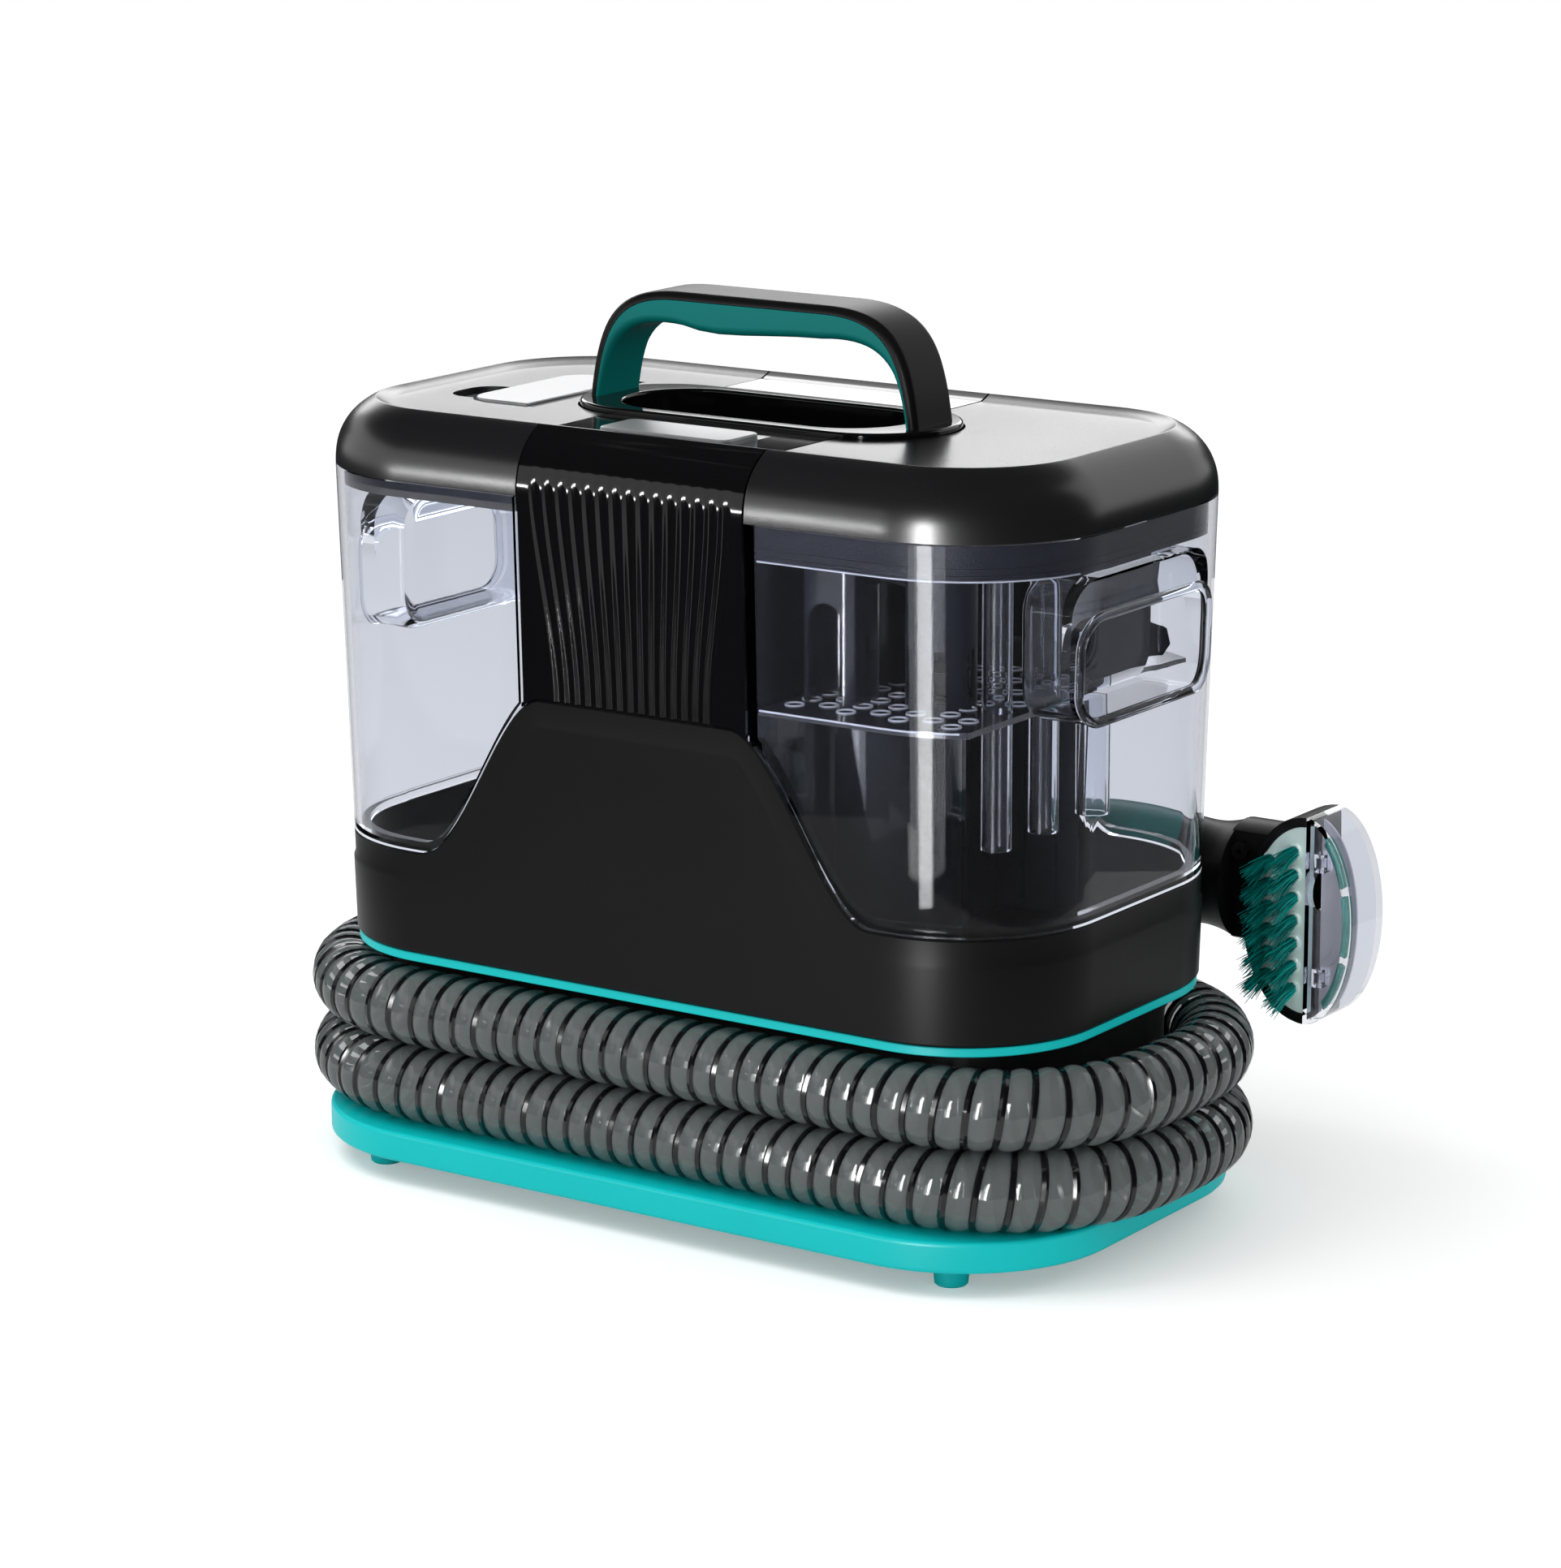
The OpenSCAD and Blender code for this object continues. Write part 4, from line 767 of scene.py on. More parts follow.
def baffle():
    """The wall at the back of the dirty tank, under and over the sieve, with two stiffening ribs."""
    parts = []
    for low, high in ((108.1, 219.5), (222, 292.8)):
        wall = block(62, 102, 80, 82.5, low, high)
        for x in (74, 90):
            carve(wall, block(x - 1, x + 1, 77.5, 80.5, low + 3, high - 3), "UNION")
        parts.append(soften(wall, 0.6, 2, angle=50))
    return merge(*parts)


def splash_guard():
    """The dark guard that hangs from the lid behind the grip pocket, in the shaded inner finish: painted
    shade that keeps the view through the pocket dark.
    """
    outline = [(0, 292), (0, 238), (3, 229), (11, 225), (68, 225), (74, 229), (71, 236)]
    outline += [(60, 241), (53, 249), (50, 260), (52, 272), (58, 282), (66, 292)]
    guard = slab(outline, 144.7, 146.5, "X")
    return soften(guard, 0.5, 2, angle=15)


def tank_shell():
    upper = carve(body_solid(0, Z_TANK, Z_LID - 0.3), above_rim(0.3), "INTERSECT")
    outer = right_of(carve(body_solid(3.8, Z_TANK, Z_LID - 0.3), upper, "UNION"), 55.3, 0.8)
    upper = carve(body_solid(3, Z_TANK + 3, Z_LID + 1), above_rim(4.3), "INTERSECT")
    inner = right_of(carve(body_solid(6.8, Z_TANK + 3, Z_LID + 1), upper, "UNION"), 58.3, 3.8)
    pocket = slab(round_rect(101, 58, 15, 0, 248.6), 149, FAR, "X")
    carve(inner, soften(pocket, 7, 4, where=lambda e: all(v.co.x < 150 for v in e.verts)))
    carve(outer, inner)
    recess = slab(round_rect(94, 38.3, 12, 0, 241.7), 152, FAR, "X")
    behind_bar = slab(round_rect(94, 52, 12, 0, 248.6), 152, 168, "X")
    hollow = carve(recess, behind_bar, "UNION")
    soften(hollow, 4, 3, where=lambda e: all(v.co.x < 153 for v in e.verts))
    carve(outer, hollow)
    return soften(outer, 0.8, 2, angle=50)


def pocket_bead():
    """The raised bead round the mouth of a grip pocket."""
    line = []
    for y, z in round_rect(97, 42, 13, 0, 241.7, 10):
        r = body_r(z)
        out = math.sqrt(max(r * r - max(abs(y) - CORE_Y, 0) ** 2, 0))
        line.append((CORE_X + out, y, z))
    return tube(line, 2.0, closed=True, sides=12)


def housing():
    """The motor housing, with a field that stands a little proud inside its rim band."""
    # each row: height over the foot (or none), drop below the rim, how far it stands out
    rows = [
        (None, 0.0, -1.0), (1.2, 0.0, 0.0), (None, 12.2, 0.0), (None, 10.6, -0.8), (None, 0.9, -0.8),
        (None, 0.0, -1.7), (None, 0.0, -2.9), (None, 0.6, -3.8), (3.0, 0.0, -3.8),
    ]
    bm = sweep([(1, i) for i in range(len(rows))], CORE_X, CORE_Y, 20, (78, 1))
    for v in bm.verts:
        core = Vector((min(max(v.co.x, -CORE_X), CORE_X), min(max(v.co.y, -CORE_Y), CORE_Y), 0))
        way = (Vector((v.co.x, v.co.y, 0)) - core).normalized()
        up, drop, lift = rows[round(v.co.z)]
        if round(v.co.z) == 0:
            z = Z_BODY
        elif up is not None:
            z = Z_BODY + up
        else:
            z = rim_z(core.x) - drop * math.hypot(1, rim_slope(core.x))
        place = core + way * (body_r(z) + lift + 0.8)
        v.co = (place.x, place.y, z)
    cap(bm)
    for x, y, r in ((0, 0, 46), (-118, 0, 10.4)):
        low, high = Z_BODY - 5, Z_BODY + 9
        carve(bm, lathe([(0, low), (r, low), (r, high), (0, high)], 48, centre=(x, y, 0)))
    carve(bm, lathe([(0, 0), (9.05, 0), (9.05, 60), (0, 60)], 32, axis=(0, 1, 0), centre=(-20, 60, 165)))
    return bm


FLUTES = 15


def flute_depth(x, z):
    """How far the front is cut in at a place, for ribs that fan out towards the shoulder."""
    up = min(max((z - 213) / 92, 0), 1)
    pitch = 5.2 + 1.4 * ease(up)
    k = x / pitch
    half = FLUTES / 2
    if abs(k) > half:
        return 0.0
    wave = 0.5 - 0.5 * math.cos(2 * math.pi * (k + half))
    return (1.1 - 0.5 * up) * wave ** 0.8 * ease(min(max((307 - z) / 9, 0), 1))


def cover_profile(low, inset):
    """The front cover's side view as (outward, height), outer or inner."""
    line = [(body_r(low + (Z_LID - low) * i / 26) - inset, low + (Z_LID - low) * i / 26) for i in range(26)]
    line += shoulder(inset, 16)
    return line + [(LID_R - inset - SHOULDER_IN - RIM_BAND, Z_TOP - inset), (-CORE_Y, Z_TOP - inset)]


def cover(fluted):
    """The front cover, or its plain twin at the back, turned to the front."""
    outer, inner = cover_profile(213.3, 0), cover_profile(213.3, WALL)
    bm = bmesh.new()
    columns = 240 if fluted else 36
    line = open_line(bm, [(-54.2, -CORE_Y - out, z) for out, z in outer + inner[::-1]])
    ends = [v for v in line if isinstance(v, bmesh.types.BMVert)]
    line.append(bm.edges.new((ends[-1], ends[0])))
    spin(bm, line, columns, move=(108.4 / columns, 0, 0))
    depths = {}
    for (out, z), (before, low), (after, high) in zip(outer[1:-2], outer, outer[2:]):
        along = Vector((after - before, high - low)).normalized()
        depths[(round(out, 3), round(z, 3))] = (along.y, -along.x)
    for v in bm.verts:
        key = (round(-CORE_Y - v.co.y, 3), round(v.co.z, 3))
        if abs(v.co.z - 213.3) < 1e-3:
            v.co.z = rim_z(v.co.x) + 0.3
        if fluted and (key in depths or abs(v.co.z - 213.3) < 1):
            out, up = depths.get(key, (1, 0))
            if key in depths or -CORE_Y - v.co.y > body_r(213.3) - 1:
                cut = flute_depth(v.co.x, v.co.z)
                v.co.y += out * cut
                v.co.z -= up * cut
    bmesh.ops.holes_fill(bm, edges=[e for e in bm.edges if e.is_boundary], sides=0)
    outward(bm)
    carve(bm, stadium(TRAY_L + 0.8, TRAY_W + 0.8, 290, FAR, 32))
    return bm


def centre_panel():
    panel = cover(True)
    carve(panel, slab(round_rect(63.6, 25.6, 5, 0, -63), 300, FAR))
    soften(panel, 0.6, 2, angle=12, where=crease)
    return panel


def rear_cover():
    back = cover(False)
    bmesh.ops.rotate(back, cent=(0, 0, 0), matrix=Matrix.Rotation(math.pi, 3, "Z"), verts=back.verts)
    return soften(back, 0.6, 2, angle=12, where=crease)


# ---- top ----


def handle_tray():
    tray = stadium(173.4, 69.4, Z_CREASE - TRAY_H, Z_CREASE, 32)
    bowl = stadium(134, 54, Z_CREASE - TRAY_H + 3, FAR, 28)
    soften(bowl, 6, 5, where=lambda e: all(v.co.z < 310 for v in e.verts))
    carve(tray, bowl)
    return soften(tray, 1.3, 4, angle=50, where=lambda e: all(v.co.z > 320 for v in e.verts))


def cubic(a, b, c, d, n=20):
    pts = []
    for i in range(n + 1):
        t = i / n
        u = 1 - t
        pts.append(
            tuple(
                u**3 * p + 3 * u * u * t * q + 3 * u * t * t * r + t**3 * s
                for p, q, r, s in zip(a, b, c, d)
            )
        )
    return pts


def both_ways(line, middle):
    return line + middle + [(-x, z) for x, z in reversed(line)]


HANDLE_D = 29.0
HANDLE_OUTER = both_ways(
    cubic((80, 0), (76, 29.9), (70, 46), (36, 46)), [(22, 46), (10, 46), (-4, 46), (-16, 46), (-26, 46)]
)
HANDLE_SEAM = both_ways(
    cubic((76.5, 0), (72, 28), (66, 42.5), (36, 42.5)),
    [(22, 42.5), (10, 42.5), (-4, 42.5), (-16, 42.5), (-26, 42.5)],
)
HANDLE_INNER = both_ways(
    cubic((75, 0), (71, 24), (63, 35), (34, 32.2)),
    [(22, 31.9), (10, 31.2), (-4, 30.3), (-16, 29.9), (-26, 30.6)],
)


def handle_part(under, over, r_under, r_over):
    """A slice of the handle between two curves, rounded along its edges."""
    rings = []
    for a, b in zip(under, over):
        low, high = Vector((a[0], 0, Z_CREASE + a[1])), Vector((b[0], 0, Z_CREASE + b[1]))
        thick = (high - low).length
        out = (high - low) / thick
        ring = []
        for y, v, r, turn in (
            (-1, 0, r_under, 180), (1, 0, r_under, 270), (1, 1, r_over, 0), (-1, 1, r_over, 90),
        ):
            r = min(r, thick * 0.85)
            cy, cv = y * (HANDLE_D / 2 - r), (r if v == 0 else thick - r)
            for u, w in arc(cy, cv, r, turn, turn + 90, 6):
                ring.append(low + out * w + Vector((0, u, 0)))
        rings.append(ring)
    return loft(rings)


def power_button():
    cap_ = slab(round_rect(63, 25, 4.7, 0, -63), 316.3, Z_CREASE)
    soften(cap_, 0.9, 3, where=lambda e: all(v.co.z > 322 for v in e.verts))
    flange = slab(round_rect(66, 28, 5, 0, -63), 314.8, 316.3)
    stem = lathe([(0, 308.4), (3, 308.4), (3, 314.8), (0, 314.8)], 24, centre=(0, -63, 0))
    return merge(cap_, flange, stem)


def filler_flap():
    leaf = slab(flap_plan(0, -126, -94), 318.1, 320.6)
    soften(leaf, 0.8, 3, angle=50)
    wall = [(1.05, -38), (2, -38), (2, 38), (1.05, 38), (1.05, -38)]
    barrel = lathe(wall, 24, axis=(0, 1, 0), centre=(-94, 0, 317.2))
    return merge(leaf, barrel)


# ---- base ----


def base_plate():
    edge = [(63, 19.7), (63, 10), (64.2, 10)]
    for a in (30, 60, 90):
        edge.append((64.2 + 1.8 * math.sin(math.radians(a)), 11.8 - 1.8 * math.cos(math.radians(a))))
    for a in (0, 30, 60, 90):
        edge.append((64.2 + 1.8 * math.cos(math.radians(a)), 20.9 + 1.8 * math.sin(math.radians(a))))
    plate = cap(sweep(edge, 119.5, 39.5, 24))
    for x in (-141, 141):
        for y in (-81, 81):
            carve(plate, lathe([(0, 10.01), (9, 10.01), (9, 21), (0, 21)], 32, centre=(x, y, 0)), "UNION")
    for i in range(7):
        carve(plate, block(66, 126, (i - 3) * 10 - 2.5, (i - 3) * 10 + 2.5, 5, 30))
    return plate


def accent_strip():
    line = [(20, Z_STRIP), (57.6, Z_STRIP), (58, Z_STRIP + 0.4), (58, Z_BODY - 0.4), (57.6, Z_BODY)]
    line += [(20, Z_BODY), (20, Z_STRIP)]
    bm = sweep(line, CORE_X, CORE_Y, 20)
    outward(bm)
    return bm


# ---- hand tool ----

WAND_Y, WAND_Z = 130.0, 120.0
HEAD_X, HEAD_Y, HEAD_Z = 185.5, 118.0, 108.5
HEAD_T = 28.0
WAND_LINE = [
    (46, 17), (58, 18), (68, 21.5), (80, 24), (100, 24.5), (118, 23.5), (134, 22), (144, 23), (152, 25.5),
]


def on_wand(line, steps=48):
    return lathe(line, steps, axis=(1, 0, 0), centre=(0, WAND_Y, WAND_Z))


def smooth_line(points, pieces=5):
    """More points on the smooth curve through the given ones."""
    line = [points[0]]
    for i in range(len(points) - 1):
        a, b, c, d = (Vector(points[min(max(i + k, 0), len(points) - 1)]) for k in (-1, 0, 1, 2))
        for k in range(1, pieces + 1):
            t = k / pieces
            bend = 2 * a - 5 * b + 4 * c - d
            line.append(tuple(0.5 * (2 * b + (c - a) * t + bend * t * t + (3 * b - a - 3 * c + d) * t**3)))
    return line


def cuff():
    line = [(16.3, 14), (17.9, 14), (18.5, 14.6)]
    for i in range(4):
        x = 18 + 7 * i
        line += [(18.5, x), (19.2, x + 0.3), (19.5, x + 0.9)]
        line += [(19.5, x + 2.1), (19.2, x + 2.7), (18.5, x + 3)]
    return on_wand(line + [(18.5, 45.4), (17.9, 46), (16.3, 46), (16.3, 14)])


def wand():
    """The black wand, drawn in where its cover lies."""
    line = [(r, x) for x, r in smooth_line(WAND_LINE)]
    body = on_wand([(13, 46)] + line + [(13, 152), (13, 46)])
    seat = on_wand([(30, 59.8), (30, 128.2), (15, 128.2), (15, 59.8), (30, 59.8)])
    carve(seat, block(50, 140, 60, 200, WAND_Z + 2.8, WAND_Z + 60), "INTERSECT")
    carve(body, seat)
    return body


def wand_cover():
    line = [(r, x) for x, r in smooth_line(WAND_LINE) if 60 <= x <= 128]
    cover = on_wand([(15.2, 60.4), (18.4, 60.4)] + line[1:] + [(22.4, 127.6), (15.2, 127.6), (15.2, 60.4)])
    carve(cover, block(50, 140, 60, 200, WAND_Z + 3.2, WAND_Z + 60), "INTERSECT")
    return soften(cover, 0.9, 3, angle=50)


def half_oval(side, width, height, steps=28):
    turns = [math.radians(-90 + 180 * i / steps) for i in range(steps + 1)]
    return [(HEAD_X + side * width * math.cos(a), HEAD_Z + height / 2 * math.sin(a)) for a in turns]


def edge_in(reach_x, reach_y):
    """Tells whether both ends of an edge lie in the given reaches of x and y."""

    def inside(edge):
        return all(
            reach_x[0] < v.co.x < reach_x[1] and reach_y[0] < v.co.y < reach_y[1] for v in edge.verts
        )

    return inside


def head_frame():
    """The black frame of the tool's head, with its round neck."""
    bm = slab(half_oval(-1, 29, 88), HEAD_Y, HEAD_Y + HEAD_T, "Y")
    soften(bm, 5, 4, where=edge_in((-FAR, HEAD_X - 0.1), (HEAD_Y + HEAD_T - 1, FAR)))
    soften(bm, 1.2, 3, where=edge_in((-FAR, HEAD_X - 0.1), (-FAR, HEAD_Y + 1)))
    neck = on_wand([(0, 151), (25.5, 151), (25.5, 168), (24, 172), (0, 172)])
    carve(neck, block(140, 200, HEAD_Y + 0.5, 180, 0, 300), "INTERSECT")
    carve(bm, neck, "UNION")
    carve(bm, slab(half_oval(-1, 25.5, 80), HEAD_Y - 1, HEAD_Y + 6, "Y"))
    carve(bm, on_wand([(0, 140), (9, 140), (9, 200), (0, 200)], 32))
    return bm


def brush_plate():
    bm = slab(half_oval(-1, 25.2, 79.4), HEAD_Y + 1, HEAD_Y + 6, "Y")
    for place in tuft_places():
        ring = lathe([(2.5, -1), (3.4, -0.6), (3.4, 0.7), (2.5, 0.7)], 20, axis=(0, 1, 0), centre=place)
        carve(bm, cap(ring), "UNION")
    face_y = HEAD_Y + 1
    return soften(bm, 0.5, 2, angle=70, where=edge_in((-FAR, FAR), (face_y - 0.01, face_y + 0.01)))


def tuft_places():
    places = []
    for column in range(2):
        count = 6 + column
        for i in range(count):
            places.append((HEAD_X - 16.5 + 11.3 * column, HEAD_Y + 1, HEAD_Z + (i - (count - 1) / 2) * 9.7))
    return places


def golden(i, count, radius):
    """Spreads numbered points evenly over a disc."""
    r, a = radius * math.sqrt((i + 0.5) / count), i * 2.39996
    return r * math.cos(a), r * math.sin(a)


def bristles(count=84):
    """Tufts of fine nylon bristles that fan out towards their tips."""
    bm = bmesh.new()
    lean = Vector((-0.3, -1, -0.38)).normalized()
    side = lean.cross(Vector((0, 0, 1))).normalized()
    up = side.cross(lean)
    for n, place in enumerate(tuft_places()):
        for i in range(count):
            u, v = golden(i, count, 2.5)
            stray = math.sin(12.9898 * (i + 1) + 78.233 * n)
            root = Vector(place) + side * u + up * v
            reach = 13.5 + 2.2 * stray
            spread = 1.75 + 0.45 * math.cos(3.7 * i)
            droop = up * (0.9 + 1.2 * math.sin(5.1 * i))
            tip = Vector(place) + lean * reach + (side * u + up * v) * spread - droop
            bend = root.lerp(tip, 0.5) + (side * u + up * v) * -0.12 + up * 0.5
            rings = []
            for spot, r in ((root, 0.3), (bend, 0.28), (tip, 0.14)):
                turns = [2.0944 * k for k in range(3)]
                ring = [spot + side * r * math.cos(a) + up * r * math.sin(a) for a in turns]
                rings.append([bm.verts.new(p) for p in ring])
            for near, far in zip(rings, rings[1:]):
                for k in range(3):
                    bm.faces.new((near[k], near[(k + 1) % 3], far[(k + 1) % 3], far[k]))
            bm.faces.new(rings[0][::-1])
            bm.faces.new(rings[-1])
    outward(bm)
    return bm


def hood_shell():
    """The clear hood, with slots along its curved edge."""
    x0 = HEAD_X + 0.3
    shell = slab(half_oval(1, 22, 88), HEAD_Y, HEAD_Y + HEAD_T, "Y")
    carve(shell, block(x0, FAR, 0, FAR, 0, FAR), "INTERSECT")
    soften(shell, 7, 6, where=edge_in((x0 + 0.1, FAR), (HEAD_Y + HEAD_T - 1, FAR)))
    hollow = slab(half_oval(1, 18, 84), HEAD_Y - 1, HEAD_Y + HEAD_T - 2, "Y")
    carve(hollow, block(x0 + 2, FAR, 0, FAR, 0, FAR), "INTERSECT")
    soften(hollow, 5, 5, where=edge_in((x0 + 2.1, FAR), (HEAD_Y + HEAD_T - 3, FAR)))
    carve(shell, hollow)
    carve(shell, on_wand([(0, 180), (9, 180), (9, 192), (0, 192)], 32))
    return soften(shell, 0.5, 2, angle=60)


def hood_slots():
    """Three long slots let into the hood's edge, each with a rounded frame."""
    parts = []
    for a0, a1 in ((-62, -24), (-19, 19), (24, 62)):
        turns = [math.radians(a) for a in range(a0, a1 + 1, 2)]
        outer = [(HEAD_X + 20.2 * math.cos(a), HEAD_Z + 41.6 * math.sin(a)) for a in turns]
        inner = [(HEAD_X + 17.2 * math.cos(a), HEAD_Z + 37.6 * math.sin(a)) for a in turns]
        parts.append(soften(slab(outer + inner[::-1], HEAD_Y + 0.6, HEAD_Y + 4, "Y"), 0.9, 3, angle=30))
    return merge(*parts)


def hood_clips():
    parts = []
    for z in (HEAD_Z - 24.5, HEAD_Z + 24.5):
        clip = block(HEAD_X + 2.3, HEAD_X + 7.3, HEAD_Y + 3, HEAD_Y + 9, z - 4, z + 4)
        carve(clip, block(HEAD_X + 4, HEAD_X + 5.8, HEAD_Y, HEAD_Y + 7, z - 2.2, z + 2.2))
        parts.append(soften(clip, 0.5, 2, angle=50))
    return merge(*parts)


def hood_liner():
    """The smoke tinted face inside the hood, with the arcs of the air way."""
    face = slab(half_oval(1, 17.4, 82.5), HEAD_Y + 10, HEAD_Y + 11, "Y")
    carve(face, block(HEAD_X + 2.4, FAR, 0, FAR, 0, FAR), "INTERSECT")
    rings = [face]
    for r in (6, 9.5, 13):
        arcs = arc(0, 0, r, -84, -6, 16)
        line = [(HEAD_X + 2.6 + x, HEAD_Y + 10, HEAD_Z - 12 + z) for x, z in arcs]
        rings.append(tube(line, 0.35, sides=4))
    return merge(*rings)


def trigger():
    bar = slab(round_rect(42, 12, 4, 89, WAND_Y), 87, 92)
    soften(bar, 1.2, 3, angle=60)
    pivot = (106, WAND_Y, 90)
    ring = [(1.55, -6), (3.6, -6), (4, -5.6), (4, 5.6), (3.6, 6), (1.55, 6), (1.55, -6)]
    hub = lathe(ring, 28, axis=(0, 1, 0), centre=pivot)
    carve(bar, lathe([(0, -8), (1.55, -8), (1.55, 8), (0, 8)], 20, axis=(0, 1, 0), centre=pivot))
    carve(bar, hub, "UNION")
    return bar


def cradle():
    arm = block(20, 40, 86, WAND_Y + 24.5, 95.5, WAND_Z + 4)
    carve(arm, on_wand([(0, 0), (19.8, 0), (19.8, 60), (0, 60)]))
    carve(arm, body_solid(-0.05, 80, 150))
    return soften(arm, 1.2, 3, angle=50)


make("base_deck", base_plate(), "teal_plastic", nodes=["base_plate"])
make("strip", accent_strip(), "teal_plastic", nodes=["accent_strip"])
base = make("motor_housing", housing(), "satin_black", nodes=["housing", "housing_floor"])
# painted shade: the housing's floor and its inward facing walls get the shaded inner finish, which is
# darker than the outside
base.data.materials.append(finishes["shaded_inner_black"])
for face in base.data.polygons:
    x, y, z = face.center
    on_floor = face.normal.z > 0.8 and abs(x) < 0.168 and abs(y) < 0.088
    core = Vector((min(max(x, -0.1), 0.1), min(max(y, -0.02), 0.02), z))
    inward = (face.center - core).normalized().dot(face.normal) < -0.3
    face.material_index = 1 if on_floor or inward else 0
make("fluted_panel", centre_panel(), "gloss_black", nodes=["centre_panel"], sharp=50)
make("back_cover", rear_cover(), "gloss_black", nodes=["rear_cover"])
make("tray", handle_tray(), "gloss_black", nodes=["handle_tray"])
shell = handle_part(HANDLE_SEAM, HANDLE_OUTER, 0.3, 3.4)
make("handle_shell", shell, "satin_black", nodes=["carry_handle"])
grip = handle_part(HANDLE_INNER, HANDLE_SEAM, 3.6, 0.3)
make("soft_grip", grip, "teal_rubber", nodes=["handle_grip"])
make("button_cap", power_button(), "silver_plastic", "power_button", ["power_button"])
make("flap_leaf", filler_flap(), "silver_plastic", "filler_flap", ["filler_flap"])
make("clean_lid_shell", clean_lid(), "graphite_plastic", "clean_tank", ["clean_tank_lid"])
make("clean_lid_skirt", other_way(skirt(4)), "skirt_plastic", "clean_tank")
make("dirty_lid_shell", lid_shell(), "graphite_plastic", "dirty_lid", ["dirty_tank_lid"])
make("dirty_lid_skirt", dirty_lid_plate(), "skirt_plastic", "dirty_lid", ["dirty_tank_seal"])
make("intake", intake(), "sieve_glaze", "dirty_lid", ["intake_duct"])
make("sieve", sieve(), "sieve_glaze", "dirty_tank", ["sieve_plate"])
# the sieve's lips and the skirt's bead are pale grey painted highlights
make("sieve_rims", sieve_rims(), "highlight_grey", "dirty_tank", weigh=False)
make("skirt_line", skirt_line(), "highlight_grey", "dirty_lid", weigh=False)
# the guard and the tank's back wall take the shaded inner finish, painted shade inside the tank
make("splash_guard", splash_guard(), "shaded_inner_black", "dirty_lid")
make("splash_wall", baffle(), "shaded_inner_black", "dirty_tank", ["splash_baffle"])
make("cuff", cuff(), "satin_black", nodes=["hose_cuff"])
make("wand", wand(), "satin_black", nodes=["wand_body"])
make("wand_top", wand_cover(), "deep_teal", nodes=["wand_cover"])
make("head", head_frame(), "satin_black", nodes=["head_frame"])
make("brush_holder", brush_plate(), "mint_plastic", nodes=["brush_plate"])
make("bristles", bristles(), "nylon", nodes=["bristle_tufts"], weigh=False)
make("hood_shell", hood_shell(), "clear_plastic", "hood", ["suction_hood"])
make("hood_slots", hood_slots(), "teal_glaze", "hood")
make("hood_catches", hood_clips(), "clear_plastic", "hood", ["suction_hood_clips"])
make("hood_liner", hood_liner(), "smoke_glaze", "hood")
make("trigger_bar", trigger(), "satin_black", "trigger", ["trigger"])
make("tool_rest", cradle(), "satin_black", nodes=["tool_cradle"])
tank = merge(tank_shell(), pocket_bead())
make("clean_tank_shell", other_way(tank.copy()), "clear_plastic", "clean_tank", ["clean_tank"])
dirty = make("dirty_tank_shell", tank, "clear_plastic", "dirty_tank", ["dirty_tank"])
# painted shade: the flat floor faces of the dirty tank get the dark, near-opaque shaded floor finish
dirty.data.materials.append(finishes["shaded_tank_floor"])
for face in dirty.data.polygons:
    face.material_index = 1 if abs(face.normal.z) > 0.8 and face.center.z < 0.114 else 0

# ---- light, floor ----


def lamp(name, place, aim, size, power, **rays):
    data = bpy.data.lights.new(name, "AREA")
    data.shape = "RECTANGLE"
    data.size, data.size_y = size
    data.energy = power
    light = bpy.data.objects.new(name, data)
    scene.collection.objects.link(light)
    light.location = place
    light.rotation_euler = (Vector(aim) - Vector(place)).to_track_quat("-Z", "Y").to_euler()
    light.visible_camera = False
    for ray, seen in rays.items():
        setattr(light, ray, seen)


def studio():
    world = bpy.data.worlds.new("studio")
    scene.world = world
    world.use_nodes = True
    nodes, link = world.node_tree.nodes, world.node_tree.links.new
    ray = nodes.new("ShaderNodeLightPath")
    seen = nodes.new("ShaderNodeMath")
    seen.operation = "MAXIMUM"
    link(ray.outputs["Is Camera Ray"], seen.inputs[0])
    link(ray.outputs["Is Transmission Ray"], seen.inputs[1])
    shown = nodes.new("ShaderNodeMath")
    shown.operation = "MAXIMUM"
    link(seen.outputs[0], shown.inputs[0])
    link(ray.outputs["Is Glossy Ray"], shown.inputs[1])
    level = nodes.new("ShaderNodeMath")
    level.operation = "MULTIPLY_ADD"
    level.inputs[1].default_value = 0.25
    level.inputs[2].default_value = 0.75
    link(shown.outputs[0], level.inputs[0])
    link(level.outputs[0], nodes["Background"].inputs["Strength"])
    nodes["Background"].inputs["Color"].default_value = (1, 1, 1, 1)
    lamp("front_strip", (0.155, -0.56, 0.2), (0.13, -0.1, 0.2), (0.09, 0.42), 3.6, visible_diffuse=False)
    lamp("front_strip_glow", (0.16, -0.6, 0.2), (0.13, -0.1, 0.2), (0.27, 0.42), 2.6, visible_diffuse=False)
    lamp("shoulder_strip", (-0.6, -1.05, 0.275), (0, -0.1, 0.3), (0.5, 0.045), 3.5, visible_diffuse=False)
    lamp("rear_panel", (-0.86, 1.23, 0.77), (0, 0, 0.32), (1.8, 0.36), 6, visible_diffuse=False)
    lamp("overhead", (-0.6, -0.6, 1.8), (0, 0, 0.2), (1.2, 1.2), 13, visible_glossy=False)


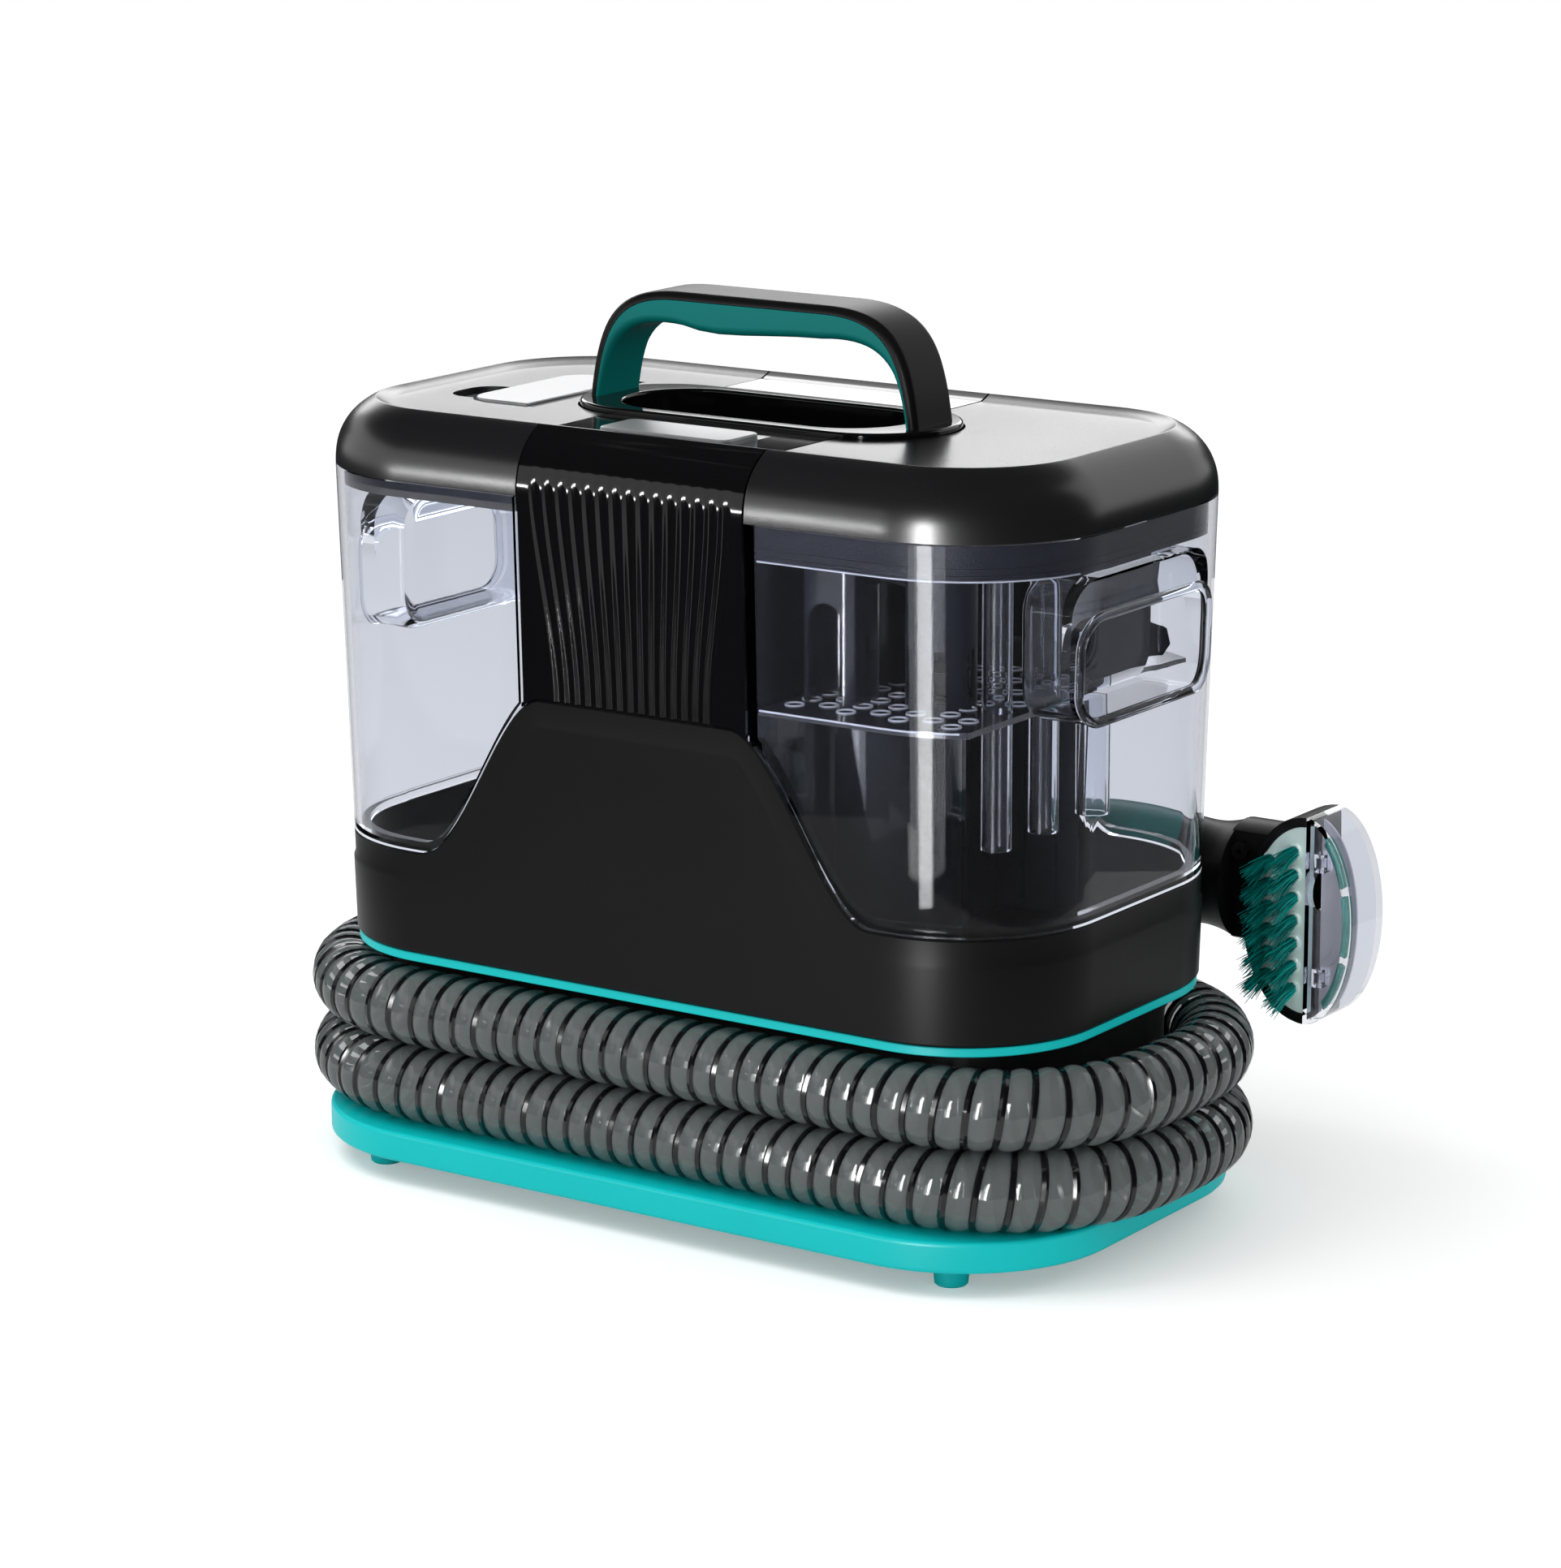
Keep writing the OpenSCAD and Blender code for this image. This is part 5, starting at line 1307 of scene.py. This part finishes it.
def black_card(name, radius, low, high, first, last, colour):
    """A curved card that only reflections see, as studios use to keep dark plastic dark."""
    bm = bmesh.new()
    a = math.radians(first)
    inner = radius if high > low else 0.0
    ends = ((radius, low), (inner, high))
    line = open_line(bm, [(r * math.sin(a), -r * math.cos(a), z) for r, z in ends])
    spin(bm, line, 24, angle=last - first)
    mesh = bpy.data.meshes.new(name)
    bm.to_mesh(mesh)
    bm.free()
    mesh.materials.append(plastic(name, colour, 0.9, Specular_IOR_Level=0))
    card = bpy.data.objects.new(name, mesh)
    scene.collection.objects.link(card)
    card.visible_camera = card.visible_shadow = card.visible_diffuse = card.visible_transmission = False


def floor():
    bm = bmesh.new()
    bmesh.ops.create_grid(bm, x_segments=1, y_segments=1, size=12)
    mesh = bpy.data.meshes.new("floor")
    bm.to_mesh(mesh)
    bm.free()
    ground = bpy.data.objects.new("floor", mesh)
    scene.collection.objects.link(ground)
    material = bpy.data.materials.new("white floor")
    material.use_nodes = True
    nodes, link = material.node_tree.nodes, material.node_tree.links.new
    matt = nodes["Principled BSDF"]
    matt.inputs["Base Color"].default_value = (0.93, 0.93, 0.93, 1)
    matt.inputs["Roughness"].default_value = 0.9
    matt.inputs["Specular IOR Level"].default_value = 0
    matt.inputs["Emission Color"].default_value = (1, 1, 1, 1)
    ray = nodes.new("ShaderNodeLightPath")
    glow = nodes.new("ShaderNodeMath")
    glow.operation = "MULTIPLY"
    glow.inputs[1].default_value = 0.3
    link(ray.outputs["Is Camera Ray"], glow.inputs[0])
    link(glow.outputs[0], matt.inputs["Emission Strength"])
    mesh.materials.append(material)


studio()
black_card("right_card", 0.62, 0.0, 0.75, 20, 120, (0.01, 0.01, 0.01))
black_card("panel_card", 0.32, 0.12, 0.5, 0, 21, (0.004, 0.004, 0.004))
black_card("tool_side_card", 0.64, 0.0, 0.32, 118, 170, (0.004, 0.006, 0.006))
black_card("left_card", 0.66, 0.0, 0.27, -110, -13, (0.03, 0.03, 0.035))
black_card("upper_card", 0.8, 0.62, 1.4, -120, 120, (0.02, 0.02, 0.02))
black_card("rear_card", 1.3, 0.0, 0.54, 170, 260, (0.02, 0.02, 0.02))
black_card("high_card", 0.8, 1.0, 1.4, 120, 240, (0.02, 0.02, 0.02))
black_card("roof_card", 0.8, 1.4, 1.4, 0, 360, (0.015, 0.015, 0.015))
floor()
